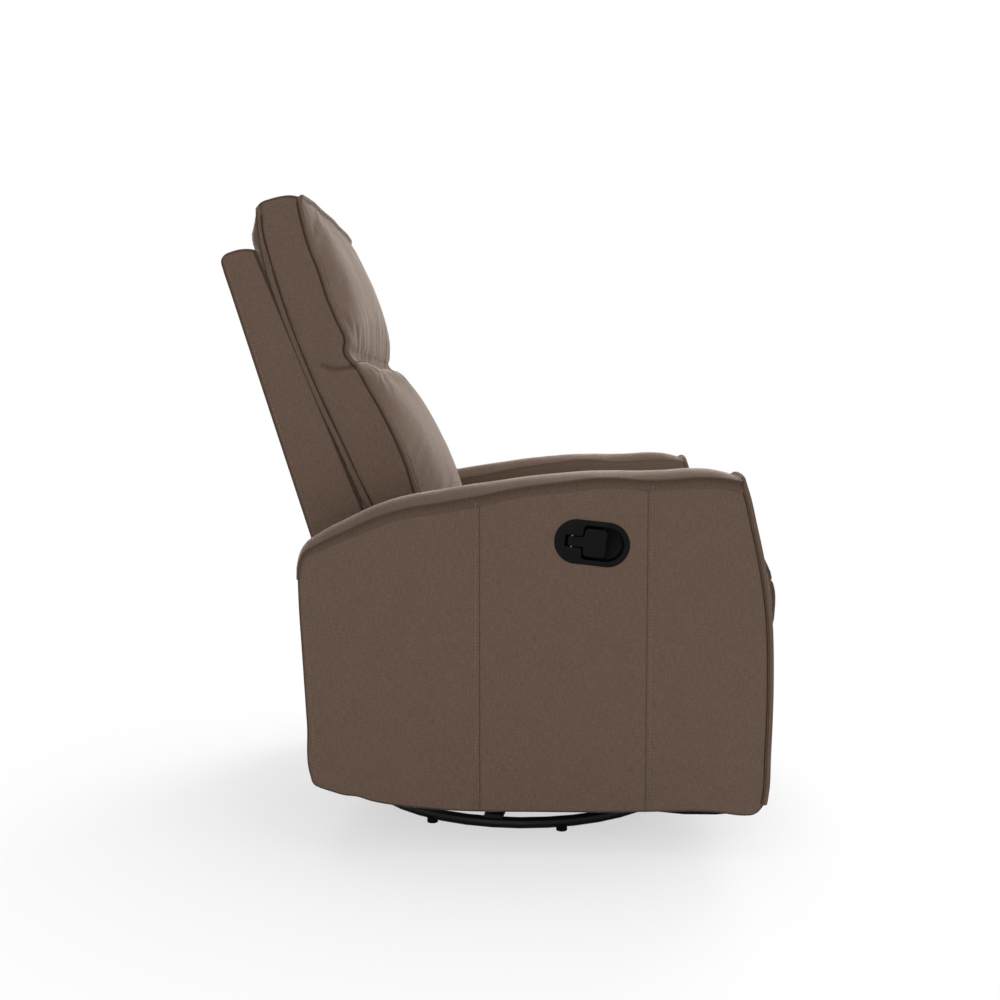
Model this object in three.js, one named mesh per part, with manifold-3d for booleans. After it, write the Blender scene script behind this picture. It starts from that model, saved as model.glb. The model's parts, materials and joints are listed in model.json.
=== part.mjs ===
// Swivel glider recliner with a push-back backrest and a fold-out footrest.
// Millimetres, +X forwards, +Y to the sitter's left, +Z up. The swivel axis stands at x = 0, y = 0
// while the pieces are made. At the end the group moves so that the origin is the middle of the
// object's box at the floor.

import * as THREE from 'three';
import { mergeVertices } from 'three/addons/utils/BufferGeometryUtils.js';
import Module from 'manifold-3d';

const wasm = await Module();
wasm.setup();

// Fits and facets
const seatGap = 0.3; // between two pieces that touch
const runGap = 0.3; // round a pin in its hole
const overrun = 3; // how far a cut runs past the surface it opens
const pinSides = 12;
const hubSides = 16;
const tubeSides = 10;
const ringSteps = 40;
const raceSteps = 28;
const ballSides = 6;
const ballRings = 4;
const trackSteps = 4;
const arcSteps = 3;
const curveSteps = 5;
const splineSteps = 4;
const seamSteps = 20;
const bevelSteps = 2;

// Base: a ring of round tube on glides, with a cross of two bars that carries the swivel
const ringRadius = 280; // centre line
const ringTube = 18;
const glideFootHeight = 5;
const glideFootRadius = 9;
const glideFootGrip = 6; // how far a foot reaches up round the tube
const glideFootCount = 8;
const baseTurn = THREE.MathUtils.degToRad(-8.5);
const crossWidth = 30;
const crossThickness = 6;
const crossRise = 16; // from the ring's top to the hub
const crossHubRadius = 98;
const crossFootLength = 38; // the stretch that lies on the ring
const hubThickness = 4;

// Swivel bearing: two pressed races with one ring of balls
const raceRadius = 95;
const raceThickness = 6;
const raceGap = 2;
const raceBore = 18;
const ballTrackRadius = 70;
const ballRadius = 5;
const ballPlay = 0.6;
const ballCount = 14;
const kingpinRadius = 14;
const kingpinHeadRadius = 24;
const kingpinHeadHeight = 4;
const boltRadius = 4;
const boltHeadRadius = 7.5;
const boltHeadHeight = 4;
const raceBoltRadius = 86;
const raceBoltCount = 4;
const cageHalfWidth = 8;
const cageThickness = 1;

// Turntable: two cross tubes with an upright glide post at each end
const turntableTube = 25;
const squareTubeWall = 2;
const turntableTubeX = 70;
const postInset = 62; // from an arm's inner face to a post's inner face
const sheet = 4; // thickness of the pressed steel plates
const postFootHalfLength = 84;
const postHoleRadius = 34;
const postHolePitch = 92;
const postHoleShare = 0.65; // of the glide's set-back, taken by the posts' holes

// Glide: four hanging links. The upper pivots are wider apart than the lower ones, so the seat
// tips back as it swings back
const glideUpperZ = 280;
const glideLowerZ = 110;
const glideLowerX = 90;
const glidePoleZ = -240; // where the four links' lines meet
const glideUpperX = glideLowerX * (1 + (glideUpperZ - glideLowerZ) / (glideLowerZ - glidePoleZ));
const glideCentreX = -28; // under the balance point of what the glide carries
const glidePinRadius = 5;
const glideHubRadius = 16;
const glideHubWall = 7;
const glideLinkThickness = 6;
const glideLinkHalfWidth = 11;
const glideOpenPlay = 5.2; // free play round the front lower pins, where the linkage is opened
const linkToPostGap = 4.5;
const linkToHangerGap = 3.5;
const pinHead = 3;
const pinHeadRadius = 9;

// Overall upholstery
const halfWidth = 380; // outer face of an arm
const armThickness = 116;
const armInnerY = halfWidth - armThickness;
const postInnerY = armInnerY - postInset;
const sideGap = 4; // between an arm and a cushion

// Arm, seen from the side
const armRearX = -335;
const armFrontX = 376;
const armBottomZ = 68;
const armTopZ = 576;
const armPadThickness = 22;
const armPadCrown = 13;
const armRearFootX = -304;
const armRearFootZ = 104;
const armPadStartZ = 425;

// Carriage: side plates against the arms, two cross tubes and the hangers of the glide
const sidePlateTopZ = 325;
const sidePlateRadius = 16;
const sidePlateDrop = 40; // from the rear tube to the plate's lower rear corner
const carriageTube = 20;
const carriageTubeZ = 312;
const carriageFrontTubeX = 225;
const carriageRearTubeX = -182;
const hangerCornerRadius = 15;
const hangerShoulder = 6; // how far the plate's round corners lie past the tubes
const armBoltZ = 296;
const armBoltX = -140;
const armBoltPitch = 135;
const armBoltReach = 26;
const armBoltCount = 3;

// Seat: two wooden rails on the side plates, zigzag springs and the cushion
const railHeight = 24;
const railDepth = 25;
const seatRailRearX = -162;
const seatRailFrontX = 345;
const springWire = 3.6;
const springCount = 4;
const springHalfSwing = 22;
const springWaves = 5;
const springStepsPerWave = 5;
const springSides = 4;
const seatStayShare = 0.3;
const seatCushionTopZ = 476;
const seatCushionRearTopZ = 446;
const seatCushionCrown = 11;
const seatNoseX = 403;
const seatNoseCrown = 10;
const seatNoseBottomZ = 316;
const seatNoseBottomX = 388;
const seatNoseZ = 370;
const seatTopBreakX = 330;
const seatCushionRearX = -156;
const seatEdgeRadius = 16;
const seatFacet = 46; // longest straight stretch of its side outline
const seatSideDraw = 5;

// Back: hinged low between the arms, leaning at rest. Places on it are given along the back (u)
// and forwards from it (w), from the pivot
const backPivotX = -222;
const backPivotZ = 309;
const backLean = THREE.MathUtils.degToRad(17.5);
const backGap = 7; // between an arm and the back
const backHalfWidth = armInnerY - backGap;
const backFrameStartU = 30;
const backFrameTopU = 656;
const backFrameRearW = -58;
const backFrameFootFrontW = 47;
const backFrameTopFrontW = -5;
const backFrameRound = 16;
const backFrameBevel = 5;
const backPinRadius = 6;
const backBarLength = 210;
const backBarHalfWidth = 15;
const backCushionStartU = 132;
const backCushionTopU = 713;
const backCushionDome = 27;
const backCushionDepth = 200;
const backSideDraw = 5;

// Rear rail between the arms
const rearRailX = -312;
const rearRailThickness = 18;
const rearRailBottomZ = 110;
const rearRailTopZ = 284;

// Footrest linkage: a pantograph of two parallelograms on each side
const drivePivotX = 258;
const drivePivotZ = 270;
const pivotStepX = 53; // from the first plate pivot to the second
const pivotStepZ = 36;
const driveLinkLength = 166;
const driveLinkAngle = THREE.MathUtils.degToRad(-110);
const bracketPivotX = 336;
const bracketPivotZ = 262;
const bracketPivotStep = 50;
const linkThickness = 4;
const linkHalfWidth = 10;
const linkHubRadius = 12;
const layerGap = 1.5;
const linkPinRadius = 5;
const studHead = 2;
const studHeadRadius = 8;
const torqueTubeRadius = 12;
const torqueTubeWall = 3;

// Footrest
const footrestBoardX = 352;
const footrestBoardThickness = 12;
const footrestBoardBottomZ = 84;
const footrestBoardTopZ = 292;
const footrestBoardGap = 14; // between an arm and the board
const footrestBoardHalfWidth = armInnerY - footrestBoardGap;
const footrestPadThickness = 20;
const footrestPadCrown = 6;
const footrestPadOverhang = 6;
const footrestPadSide = 7; // how far the pad reaches past the board's ends
const footrestPadHalfWidth = footrestBoardHalfWidth + footrestPadSide;
const footrestPadRound = 9;
const bracketFlange = 24;
const bracketFlangeThickness = 3;
const bracketHalfWidth = 12;

// Release handle in the right arm
const handleX = 108;
const handleZ = 480;
const handleTilt = THREE.MathUtils.degToRad(-6.4);
const bezelLength = 113;
const bezelHeight = 67;
const bezelProud = 4;
const bezelChamfer = 1.5;
const cupWall = 4;
const cupDepth = 26;
const pocketHalfHeight = 25.5;
const hingeLand = 50; // of the bezel's length, beside the pocket
const pocketLength = bezelLength - hingeLand;
const bezelRim = 8;
const fingerSpace = 25; // of the pocket's length, in front of the paddle
const paddleWidth = pocketLength - fingerSpace;
const paddleHalfHeight = 21.5;
const paddleThickness = 9;
const paddleCorner = 6;
const paddleFacet = 5;
const stemLength = 20;
const stemHalfHeight = 8;
const paddleGap = 0.6;
const paddleSwingGap = 1.6; // lets the wide part's outer edge turn past the pocket's wall
const paddleSink = 1.5; // the paddle's face lies this far below the bezel's
const handlePinRadius = 2;
const slotBehindPin = 6;

// Skid under each arm's front end
const skidRearX = 202;
const skidFrontX = 348;
const skidDrop = 5;
const skidInset = 8;

// Colours and finishes
const finish = (color, roughness, metalness) =>
  new THREE.MeshStandardMaterial({ color, roughness, metalness });
const fabric = () => finish(0x6b5a4e, 0.95, 0);
const blackSteel = () => finish(0x141416, 0.45, 0.6);
const zincSteel = () => finish(0x8d9096, 0.4, 0.9);
const wood = () => finish(0xb58c5c, 0.8, 0);
const blackPlastic = () => finish(0x17181a, 0.5, 0);
const springSteel = () => finish(0x55585e, 0.35, 0.95);

// Bodies that move together are gathered in one group
const chair = new THREE.Group();

function add(name, geometry, material, x = 0, y = 0, z = 0) {
  const mesh = new THREE.Mesh(geometry, material);
  mesh.name = name;
  mesh.position.set(x, y, z);
  chair.add(mesh);
  return mesh;
}

// Solid modelling helpers
function bare(geometry) {
  const copy = geometry.clone();
  copy.deleteAttribute('normal');
  copy.deleteAttribute('uv');
  return mergeVertices(copy);
}

function toSolid(geometry) {
  const merged = bare(geometry);
  const vertProperties = new Float32Array(merged.attributes.position.array);
  const triVerts = new Uint32Array(merged.index.array);
  return new wasm.Manifold(new wasm.Mesh({ numProp: 3, vertProperties, triVerts }));
}

function toGeometry(solid) {
  const mesh = solid.getMesh();
  const geometry = new THREE.BufferGeometry();
  geometry.setAttribute('position', new THREE.BufferAttribute(new Float32Array(mesh.vertProperties), 3));
  geometry.setIndex(new THREE.BufferAttribute(new Uint32Array(mesh.triVerts), 1));
  geometry.computeVertexNormals();
  return geometry;
}

function join(...geometries) {
  return toGeometry(geometries.map(toSolid).reduce((whole, piece) => whole.add(piece)));
}

function cut(geometry, ...tools) {
  return toGeometry(tools.map(toSolid).reduce((whole, tool) => whole.subtract(tool), toSolid(geometry)));
}

// The same geometry on the other side of the chair
function mirrored(geometry) {
  const copy = bare(geometry);
  copy.scale(1, -1, 1);
  const index = copy.index.array;
  for (let i = 0; i < index.length; i += 3) {
    [index[i + 1], index[i + 2]] = [index[i + 2], index[i + 1]];
  }
  copy.computeVertexNormals();
  return copy;
}

// A piece made for the left side and its mirror image for the right
function addPair(name, geometry, material) {
  add(`${name}_left`, geometry, material());
  add(`${name}_right`, mirrored(geometry), material());
}

// An outline drawn in x and z, made solid between two values of y
function alongY(shape, lowY, highY, curveSegments = arcSteps) {
  const depth = highY - lowY;
  const geometry = new THREE.ExtrudeGeometry(shape, { depth, bevelEnabled: false, curveSegments });
  geometry.rotateX(Math.PI / 2);
  geometry.translate(0, highY, 0);
  return geometry;
}

function block(lowX, highX, lowY, highY, lowZ, highZ) {
  const geometry = new THREE.BoxGeometry(highX - lowX, highY - lowY, highZ - lowZ);
  geometry.translate((lowX + highX) / 2, (lowY + highY) / 2, (lowZ + highZ) / 2);
  return geometry;
}

// A round bar along y
function rodY([x, z], radius, lowY, highY, sides = pinSides) {
  const geometry = new THREE.CylinderGeometry(radius, radius, highY - lowY, sides);
  geometry.translate(x, (lowY + highY) / 2, z);
  return geometry;
}

// The corner radius of a many-sided hole whose flats clear a round pin
const boreFor = (radius, sides = pinSides) => (radius + runGap) / Math.cos(Math.PI / sides);

// A round bar along z
function rodZ(x, y, radius, lowZ, highZ, sides = pinSides) {
  const geometry = new THREE.CylinderGeometry(radius, radius, highZ - lowZ, sides);
  geometry.rotateX(Math.PI / 2);
  geometry.translate(x, y, (lowZ + highZ) / 2);
  return geometry;
}

// A turned piece about the z axis, from points of radius and height
function turned(points, steps = raceSteps) {
  const profile = points.map(([radius, height]) => new THREE.Vector2(radius, height));
  const geometry = new THREE.LatheGeometry(profile, steps);
  geometry.rotateX(Math.PI / 2);
  return outward(geometry);
}

// Turns a closed geometry the right way out where its volume comes out negative
function outward(geometry) {
  const closed = bare(geometry);
  const p = closed.attributes.position;
  const index = closed.index.array;
  const [a, b, c] = [new THREE.Vector3(), new THREE.Vector3(), new THREE.Vector3()];
  let volume = 0;
  for (let i = 0; i < index.length; i += 3) {
    a.fromBufferAttribute(p, index[i]);
    b.fromBufferAttribute(p, index[i + 1]);
    c.fromBufferAttribute(p, index[i + 2]);
    volume += a.dot(b.cross(c));
  }
  if (volume < 0) {
    for (let i = 0; i < index.length; i += 3) {
      [index[i + 1], index[i + 2]] = [index[i + 2], index[i + 1]];
    }
  }
  closed.computeVertexNormals();
  return closed;
}

// A stadium between two points
function capsule([px, pz], [qx, qz], radius) {
  const angle = Math.atan2(qz - pz, qx - px);
  const shape = new THREE.Shape();
  shape.absarc(px, pz, radius, angle + Math.PI / 2, angle + Math.PI * 1.5, false);
  shape.absarc(qx, qz, radius, angle - Math.PI / 2, angle + Math.PI / 2, false);
  shape.closePath();
  return shape;
}

// A convex plate with round corners about the given points, listed anticlockwise
function roundedPlate(points, radius) {
  const shape = new THREE.Shape();
  points.forEach(([x, z], i) => {
    const [fromX, fromZ] = points[(i + points.length - 1) % points.length];
    const [toX, toZ] = points[(i + 1) % points.length];
    const start = Math.atan2(z - fromZ, x - fromX) - Math.PI / 2;
    const turn = Math.atan2(toZ - z, toX - x) - Math.PI / 2 - start;
    const end = start + ((turn + 2 * Math.PI) % (2 * Math.PI));
    shape.absarc(x, z, radius, start, end, false);
  });
  shape.closePath();
  return shape;
}

function roundHole([x, z], radius, sides = hubSides) {
  const points = Array.from({ length: sides }, (_, i) => {
    const angle = (-i * 2 * Math.PI) / sides;
    return new THREE.Vector2(x + radius * Math.cos(angle), z + radius * Math.sin(angle));
  });
  return new THREE.Path(points);
}

const middleOf = (ring) =>
  ring.reduce((sum, point) => sum.add(point), new THREE.Vector3()).divideScalar(ring.length);

// Closes a ring by a fan about a point that sees the whole of it. The ring's corners start at base
// in the list of points
function closeByFan(ring, base, points, heart = middleOf(ring)) {
  points.push(heart);
  return ring.map((_, j) => [points.length - 1, base + j, base + ((j + 1) % ring.length)]);
}

// Closes a ring whose second half runs back beside its first half, by a strip between the two
function closeByStrip(ring, base) {
  return ring.slice(0, ring.length / 2 - 1).flatMap((_, j) => {
    const [here, next] = [base + j, base + j + 1];
    const [across, acrossNext] = [base + ring.length - 1 - j, base + ring.length - 2 - j];
    return [[here, next, across], [next, acrossNext, across]];
  });
}

// Rings of points, each with the same count, skinned into one closed body
function loft(rings, close = closeByFan) {
  const count = rings[0].length;
  const points = rings.flat();
  const faces = [];
  for (let i = 0; i + 1 < rings.length; i += 1) {
    for (let j = 0; j < count; j += 1) {
      const [a, b] = [i * count + j, i * count + ((j + 1) % count)];
      faces.push([a, b, b + count], [a, b + count, a + count]);
    }
  }
  const startFaces = close(rings[0], 0, points).map((face) => face.reverse());
  const endFaces = close(rings.at(-1), (rings.length - 1) * count, points);
  const geometry = new THREE.BufferGeometry().setFromPoints(points);
  geometry.setIndex([...faces, ...startFaces, ...endFaces].flat());
  return outward(geometry);
}

// Base
const ringZ = glideFootHeight + ringTube / 2;
const ringTopZ = ringZ + ringTube / 2;
const crossUndersideZ = ringTopZ + seatGap;
const hubUndersideZ = crossUndersideZ + crossRise;
const hubTopZ = hubUndersideZ + crossThickness + hubThickness;
const raceLowZ = hubTopZ + seatGap;
const raceSplitZ = raceLowZ + raceThickness;
const upperRaceLowZ = raceSplitZ + raceGap;
const upperRaceTopZ = upperRaceLowZ + raceThickness;
const ballZ = raceSplitZ + raceGap / 2;

function circlePlaces(count, radius, turn) {
  return Array.from({ length: count }, (_, i) => {
    const angle = turn + (i * 2 * Math.PI) / count;
    return [radius * Math.cos(angle), radius * Math.sin(angle)];
  });
}

const ringGeometry = new THREE.TorusGeometry(ringRadius, ringTube / 2, tubeSides, ringSteps);
add('base_ring', bare(ringGeometry), blackSteel(), 0, 0, ringZ);

function crossArm(angle) {
  const reach = ringRadius + ringTube / 2;
  const shape = new THREE.Shape([
    new THREE.Vector2(0, hubUndersideZ),
    new THREE.Vector2(crossHubRadius, hubUndersideZ),
    new THREE.Vector2(reach - crossFootLength, crossUndersideZ),
    new THREE.Vector2(reach, crossUndersideZ),
    new THREE.Vector2(reach, crossUndersideZ + crossThickness),
    new THREE.Vector2(reach - crossFootLength, crossUndersideZ + crossThickness),
    new THREE.Vector2(crossHubRadius, hubUndersideZ + crossThickness),
    new THREE.Vector2(0, hubUndersideZ + crossThickness),
  ]);
  return alongY(shape, -crossWidth / 2, crossWidth / 2).rotateZ(angle);
}

const hubPlate = turned([
  [boreFor(kingpinRadius), hubUndersideZ + crossThickness],
  [raceRadius, hubUndersideZ + crossThickness],
  [raceRadius, hubTopZ],
  [boreFor(kingpinRadius), hubTopZ],
  [boreFor(kingpinRadius), hubUndersideZ + crossThickness],
]);
const crossArms = [0, 1, 2, 3].map((k) => crossArm(baseTurn + (k * Math.PI) / 2));
const raceBolts = circlePlaces(raceBoltCount, raceBoltRadius, baseTurn + Math.PI / raceBoltCount);
const hubHoles = [
  rodZ(0, 0, boreFor(kingpinRadius), hubUndersideZ - overrun, hubTopZ + overrun),
  ...raceBolts.map(([x, y]) => rodZ(x, y, boreFor(boltRadius), hubUndersideZ - overrun, hubTopZ + overrun)),
];
add('base_cross', cut(join(...crossArms, hubPlate), ...hubHoles), blackSteel());

// Each foot is a button with a saddle that fits the ring's tube
const saddle = new THREE.TorusGeometry(ringRadius, ringTube / 2 + seatGap, tubeSides, ringSteps);
saddle.translate(0, 0, ringZ);
const feet = circlePlaces(glideFootCount, ringRadius, baseTurn + Math.PI / glideFootCount);
feet.forEach(([x, y], i) => {
  const button = rodZ(x, y, glideFootRadius, 0, glideFootHeight + glideFootGrip);
  add(`floor_glide_${i + 1}`, cut(button, saddle), blackPlastic());
});

// Swivel bearing
function trackProfile(flatZ, sign) {
  const reach = ballRadius + ballPlay;
  const rise = sign * (ballZ - flatZ);
  const half = Math.sqrt(reach * reach - rise * rise);
  const steps = Array.from({ length: trackSteps + 1 }, (_, i) => -1 + (2 * i) / trackSteps);
  const limit = Math.asin(half / reach);
  return steps.map((share) => [
    ballTrackRadius + reach * Math.sin(limit * share),
    ballZ - sign * reach * Math.cos(limit * share),
  ]);
}

function race(backZ, flatZ, sign) {
  const points = [
    [raceBore, backZ],
    [raceRadius, backZ],
    [raceRadius, flatZ],
    ...trackProfile(flatZ, sign).reverse(),
    [raceBore, flatZ],
    [raceBore, backZ],
  ];
  return turned(points);
}

// The lower race is riveted to the hub; each rivet's closed head lies under the hub
const raceRivets = raceBolts.flatMap(([x, y]) => [
  rodZ(x, y, boltRadius, hubUndersideZ - seatGap - boltHeadHeight / 2, raceSplitZ - raceThickness / 2),
  rodZ(x, y, boltHeadRadius, hubUndersideZ - seatGap - boltHeadHeight, hubUndersideZ - seatGap),
]);
add('swivel_lower_race', join(race(raceLowZ, raceSplitZ, 1), ...raceRivets), zincSteel());
add('swivel_upper_race', race(upperRaceTopZ, upperRaceLowZ, -1), zincSteel());

// The balls sit in a thin ring that keeps them apart
const cage = turned([
  [ballTrackRadius - cageHalfWidth, ballZ - cageThickness / 2],
  [ballTrackRadius + cageHalfWidth, ballZ - cageThickness / 2],
  [ballTrackRadius + cageHalfWidth, ballZ + cageThickness / 2],
  [ballTrackRadius - cageHalfWidth, ballZ + cageThickness / 2],
  [ballTrackRadius - cageHalfWidth, ballZ - cageThickness / 2],
]);
const balls = circlePlaces(ballCount, ballTrackRadius, 0).map(([x, y]) =>
  new THREE.SphereGeometry(ballRadius, ballSides, ballRings).translate(x, y, ballZ));
add('swivel_ball_cage', join(cage, ...balls), zincSteel());

const kingpinHeadZ = upperRaceTopZ + seatGap;
add('swivel_kingpin', turned([
  [0, hubUndersideZ],
  [kingpinRadius, hubUndersideZ],
  [kingpinRadius, kingpinHeadZ],
  [kingpinHeadRadius, kingpinHeadZ],
  [kingpinHeadRadius, kingpinHeadZ + kingpinHeadHeight],
  [0, kingpinHeadZ + kingpinHeadHeight],
], hubSides), zincSteel());

// Turntable
const turntableTubeZ = upperRaceTopZ + seatGap + turntableTube / 2;
const postOuterY = postInnerY + sheet;

function squareTubeAlongY([x, z], width, halfLength) {
  const half = width / 2;
  const inner = half - squareTubeWall;
  const corners = (size) => [[-size, -size], [size, -size], [size, size], [-size, size]]
    .map(([dx, dz]) => new THREE.Vector2(x + dx, z + dz));
  const shape = new THREE.Shape(corners(half));
  shape.holes.push(new THREE.Path(corners(inner).reverse()));
  return alongY(shape, -halfLength, halfLength);
}

const turntableHalfLength = postInnerY - seatGap;
for (const [name, x] of [['front', turntableTubeX], ['rear', -turntableTubeX]]) {
  const tube = squareTubeAlongY([x, turntableTubeZ], turntableTube, turntableHalfLength);
  add(`turntable_${name}_tube`, tube, blackSteel());
}

const upperPivots = [[glideCentreX + glideUpperX, glideUpperZ], [glideCentreX - glideUpperX, glideUpperZ]];
const lowerPivots = [[glideCentreX + glideLowerX, glideLowerZ], [glideCentreX - glideLowerX, glideLowerZ]];

const postFootZ = turntableTubeZ - turntableTube / 2 + glideHubRadius;
const postShape = roundedPlate([
  [-postFootHalfLength, postFootZ],
  [postFootHalfLength, postFootZ],
  upperPivots[0],
  upperPivots[1],
], glideHubRadius);
const postHoleZ = (glideUpperZ + turntableTubeZ) / 2;
for (const shareAcross of [-1, 0, 1]) {
  const rise = Math.abs(shareAcross) * postHoleRadius;
  const place = [postHoleShare * glideCentreX + shareAcross * postHolePitch, postHoleZ + rise];
  postShape.holes.push(roundHole(place, postHoleRadius));
}

// A pin pressed into a plate: its shaft from the plate outwards, and the head that keeps a link on it
function pressedPin(place, radius, headRadius, fromY, shoulderY, headHeight) {
  const step = Math.sign(shoulderY - fromY);
  const end = shoulderY + step * headHeight;
  const [low, high] = [Math.min(fromY, end), Math.max(fromY, end)];
  const [headLow, headHigh] = [Math.min(shoulderY, end), Math.max(shoulderY, end)];
  return join(rodY(place, radius, low, high), rodY(place, headRadius, headLow, headHigh));
}

// Glide links
const linkInnerY = postOuterY + linkToPostGap;
const linkOuterY = linkInnerY + glideLinkThickness;
const hangerInnerY = linkOuterY + linkToHangerGap;
const hangerOuterY = hangerInnerY + sheet;

function glideLink(upper, lower, lowerBore, lowerHub) {
  const arm = alongY(capsule(upper, lower, glideLinkHalfWidth), linkInnerY, linkOuterY);
  const hubs = [
    rodY(upper, glideHubRadius, linkInnerY, linkOuterY, hubSides),
    rodY(lower, lowerHub, linkInnerY, linkOuterY, hubSides),
  ];
  const bores = [
    rodY(upper, boreFor(glidePinRadius), linkInnerY - overrun, linkOuterY + overrun),
    rodY(lower, lowerBore, linkInnerY - overrun, linkOuterY + overrun, hubSides),
  ];
  return cut(join(arm, ...hubs), ...bores);
}

const openBore = glidePinRadius + glideOpenPlay;
const frontLink = glideLink(upperPivots[0], lowerPivots[0], openBore, openBore + glideHubWall);
const rearLink = glideLink(upperPivots[1], lowerPivots[1], boreFor(glidePinRadius), glideHubRadius);
addPair('glide_link_front', frontLink, blackSteel);
addPair('glide_link_rear', rearLink, blackSteel);

const upperPins = upperPivots.map((pivot) =>
  pressedPin(pivot, glidePinRadius, pinHeadRadius, postInnerY + sheet / 2, linkOuterY + seatGap, pinHead));
addPair('glide_post', join(alongY(postShape, postInnerY, postOuterY), ...upperPins), blackSteel);

// Carriage
const platePlaneY = armInnerY - seatGap;
const plateInnerY = platePlaneY - sheet;
const backPivot = [backPivotX, backPivotZ];
const drivePivot = [drivePivotX, drivePivotZ];
const secondPivot = [drivePivotX + pivotStepX, drivePivotZ + pivotStepZ];
const carriageTubes = [[carriageFrontTubeX, carriageTubeZ], [carriageRearTubeX, carriageTubeZ]];

// The square hole that a carriage tube passes through in a hanger
function tubePassage([x, z]) {
  const half = carriageTube / 2 + seatGap;
  return block(x - half, x + half, hangerInnerY - overrun, hangerOuterY + overrun, z - half, z + half);
}

const shoulderZ = sidePlateTopZ - hangerCornerRadius;
const hangerShape = roundedPlate([
  lowerPivots[1],
  lowerPivots[0],
  [carriageFrontTubeX + hangerShoulder, shoulderZ],
  [carriageRearTubeX - hangerShoulder, shoulderZ],
], hangerCornerRadius);
const hangerHoleZ = (glideLowerZ + carriageTubeZ) / 2;
for (const shareAcross of [-1, 0, 1]) {
  const place = [glideCentreX + shareAcross * postHolePitch, hangerHoleZ];
  hangerShape.holes.push(roundHole(place, postHoleRadius));
}
const hangerMiddleY = hangerOuterY - sheet / 2;
const lowerPins = lowerPivots.map((pivot) =>
  pressedPin(pivot, glidePinRadius, pinHeadRadius, hangerMiddleY, linkInnerY - seatGap, pinHead));
const hangerPlate = cut(alongY(hangerShape, hangerInnerY, hangerOuterY), ...carriageTubes.map(tubePassage));
addPair('glide_hanger', join(hangerPlate, ...lowerPins), blackSteel);

for (const [name, place] of [['front', carriageTubes[0]], ['rear', carriageTubes[1]]]) {
  const tube = squareTubeAlongY(place, carriageTube, plateInnerY - seatGap);
  add(`carriage_${name}_tube`, tube, blackSteel());
}

// Seat rails and springs
const railLowZ = sidePlateTopZ + seatGap;
const railTopZ = railLowZ + railHeight;
for (const [name, highX] of [['front', seatRailFrontX], ['rear', seatRailRearX + railDepth]]) {
  const rail = block(highX - railDepth, highX, -platePlaneY, platePlaneY, railLowZ, railTopZ);
  add(`seat_${name}_rail`, rail, wood());
}

const springZ = railTopZ + seatGap + springWire / 2;
const springEndShare = 0.5; // of a wave, lying straight on each rail

class ZigzagWire extends THREE.Curve {
  constructor(y) {
    super();
    this.y = y;
  }

  getPoint(t, target = new THREE.Vector3()) {
    const startX = seatRailRearX + railDepth / 2;
    const endX = seatRailFrontX - railDepth / 2;
    const straight = springEndShare / springWaves;
    const inside = THREE.MathUtils.clamp((t - straight) / (1 - 2 * straight), 0, 1);
    const swing = springHalfSwing * Math.sin(inside * springWaves * 2 * Math.PI);
    return target.set(THREE.MathUtils.lerp(startX, endX, t), this.y + swing, springZ);
  }
}

function roundSection(radius, sides) {
  const points = Array.from({ length: sides }, (_, i) => {
    const angle = (i * 2 * Math.PI) / sides;
    return new THREE.Vector2(radius * Math.cos(angle), radius * Math.sin(angle));
  });
  return new THREE.Shape(points);
}

const springPitch = (2 * (platePlaneY - springHalfSwing * 2)) / (springCount - 1);
const springs = Array.from({ length: springCount }, (_, i) => {
  const path = new ZigzagWire((i - (springCount - 1) / 2) * springPitch);
  const steps = (springWaves + 1) * springStepsPerWave;
  const section = roundSection(springWire / 2, springSides);
  return new THREE.ExtrudeGeometry(section, { steps, extrudePath: path });
});

// Two stay wires across the seat tie the zigzags together
const stayHalf = ((springCount - 1) / 2) * springPitch + springHalfSwing;
const stays = [seatStayShare, 1 - seatStayShare].map((share) => {
  const x = THREE.MathUtils.lerp(seatRailRearX + railDepth / 2, seatRailFrontX - railDepth / 2, share);
  return rodY([x, springZ], springWire / 2, -stayHalf, stayHalf, springSides);
});
add('seat_springs', join(...springs, ...stays), springSteel());

// A closed outline with its long stretches cut into steps no longer than the given length
function refined(points, longest) {
  const open = points.filter((point, i) => point.distanceTo(points[(i + 1) % points.length]) > seatGap);
  return open.flatMap((point, i) => {
    const next = open[(i + 1) % open.length];
    const parts = Math.ceil(point.distanceTo(next) / longest);
    return Array.from({ length: parts }, (_, k) => point.clone().lerp(next, k / parts));
  });
}

// Seat cushion: one side outline, carried across the seat. Its nose hangs down in front of the rail
const cushionLowZ = railTopZ + seatGap * 2 + springWire;
const noseBackX = seatRailFrontX + seatGap * 2;
const seatShape = new THREE.Shape();
seatShape.moveTo(seatCushionRearX, cushionLowZ);
seatShape.lineTo(noseBackX, cushionLowZ);
seatShape.lineTo(noseBackX, seatNoseBottomZ);
seatShape.lineTo(seatNoseBottomX, seatNoseBottomZ);
seatShape.quadraticCurveTo(seatNoseX, seatNoseBottomZ, seatNoseX, seatNoseZ);
seatShape.bezierCurveTo(
  seatNoseX, (seatNoseZ + seatCushionTopZ) / 2,
  (seatNoseX + seatTopBreakX) / 2, seatCushionTopZ,
  seatTopBreakX, seatCushionTopZ,
);
seatShape.lineTo(seatCushionRearX, seatCushionRearTopZ);
const seatOutline = refined(seatShape.getPoints(curveSteps), seatFacet);

// Share of the half width of each station, closer together at the rounded edge
const edgeStationShares = [1, 0.985, 0.95, 0.86, 0.66, 0.4, 0.15];
const stationShares = [...edgeStationShares, ...edgeStationShares.map((share) => -share).reverse()];

// How far a rounded edge draws in at a place, for an edge of the given radius
function edgeInset(fromEdge, radius) {
  const share = Math.max(0, 1 - fromEdge / radius);
  return radius * (1 - Math.sqrt(1 - share * share));
}

// Where a value lies between two others, from 0 to 1
const shareBetween = (value, low, high) => THREE.MathUtils.clamp((value - low) / (high - low), 0, 1);

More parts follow.
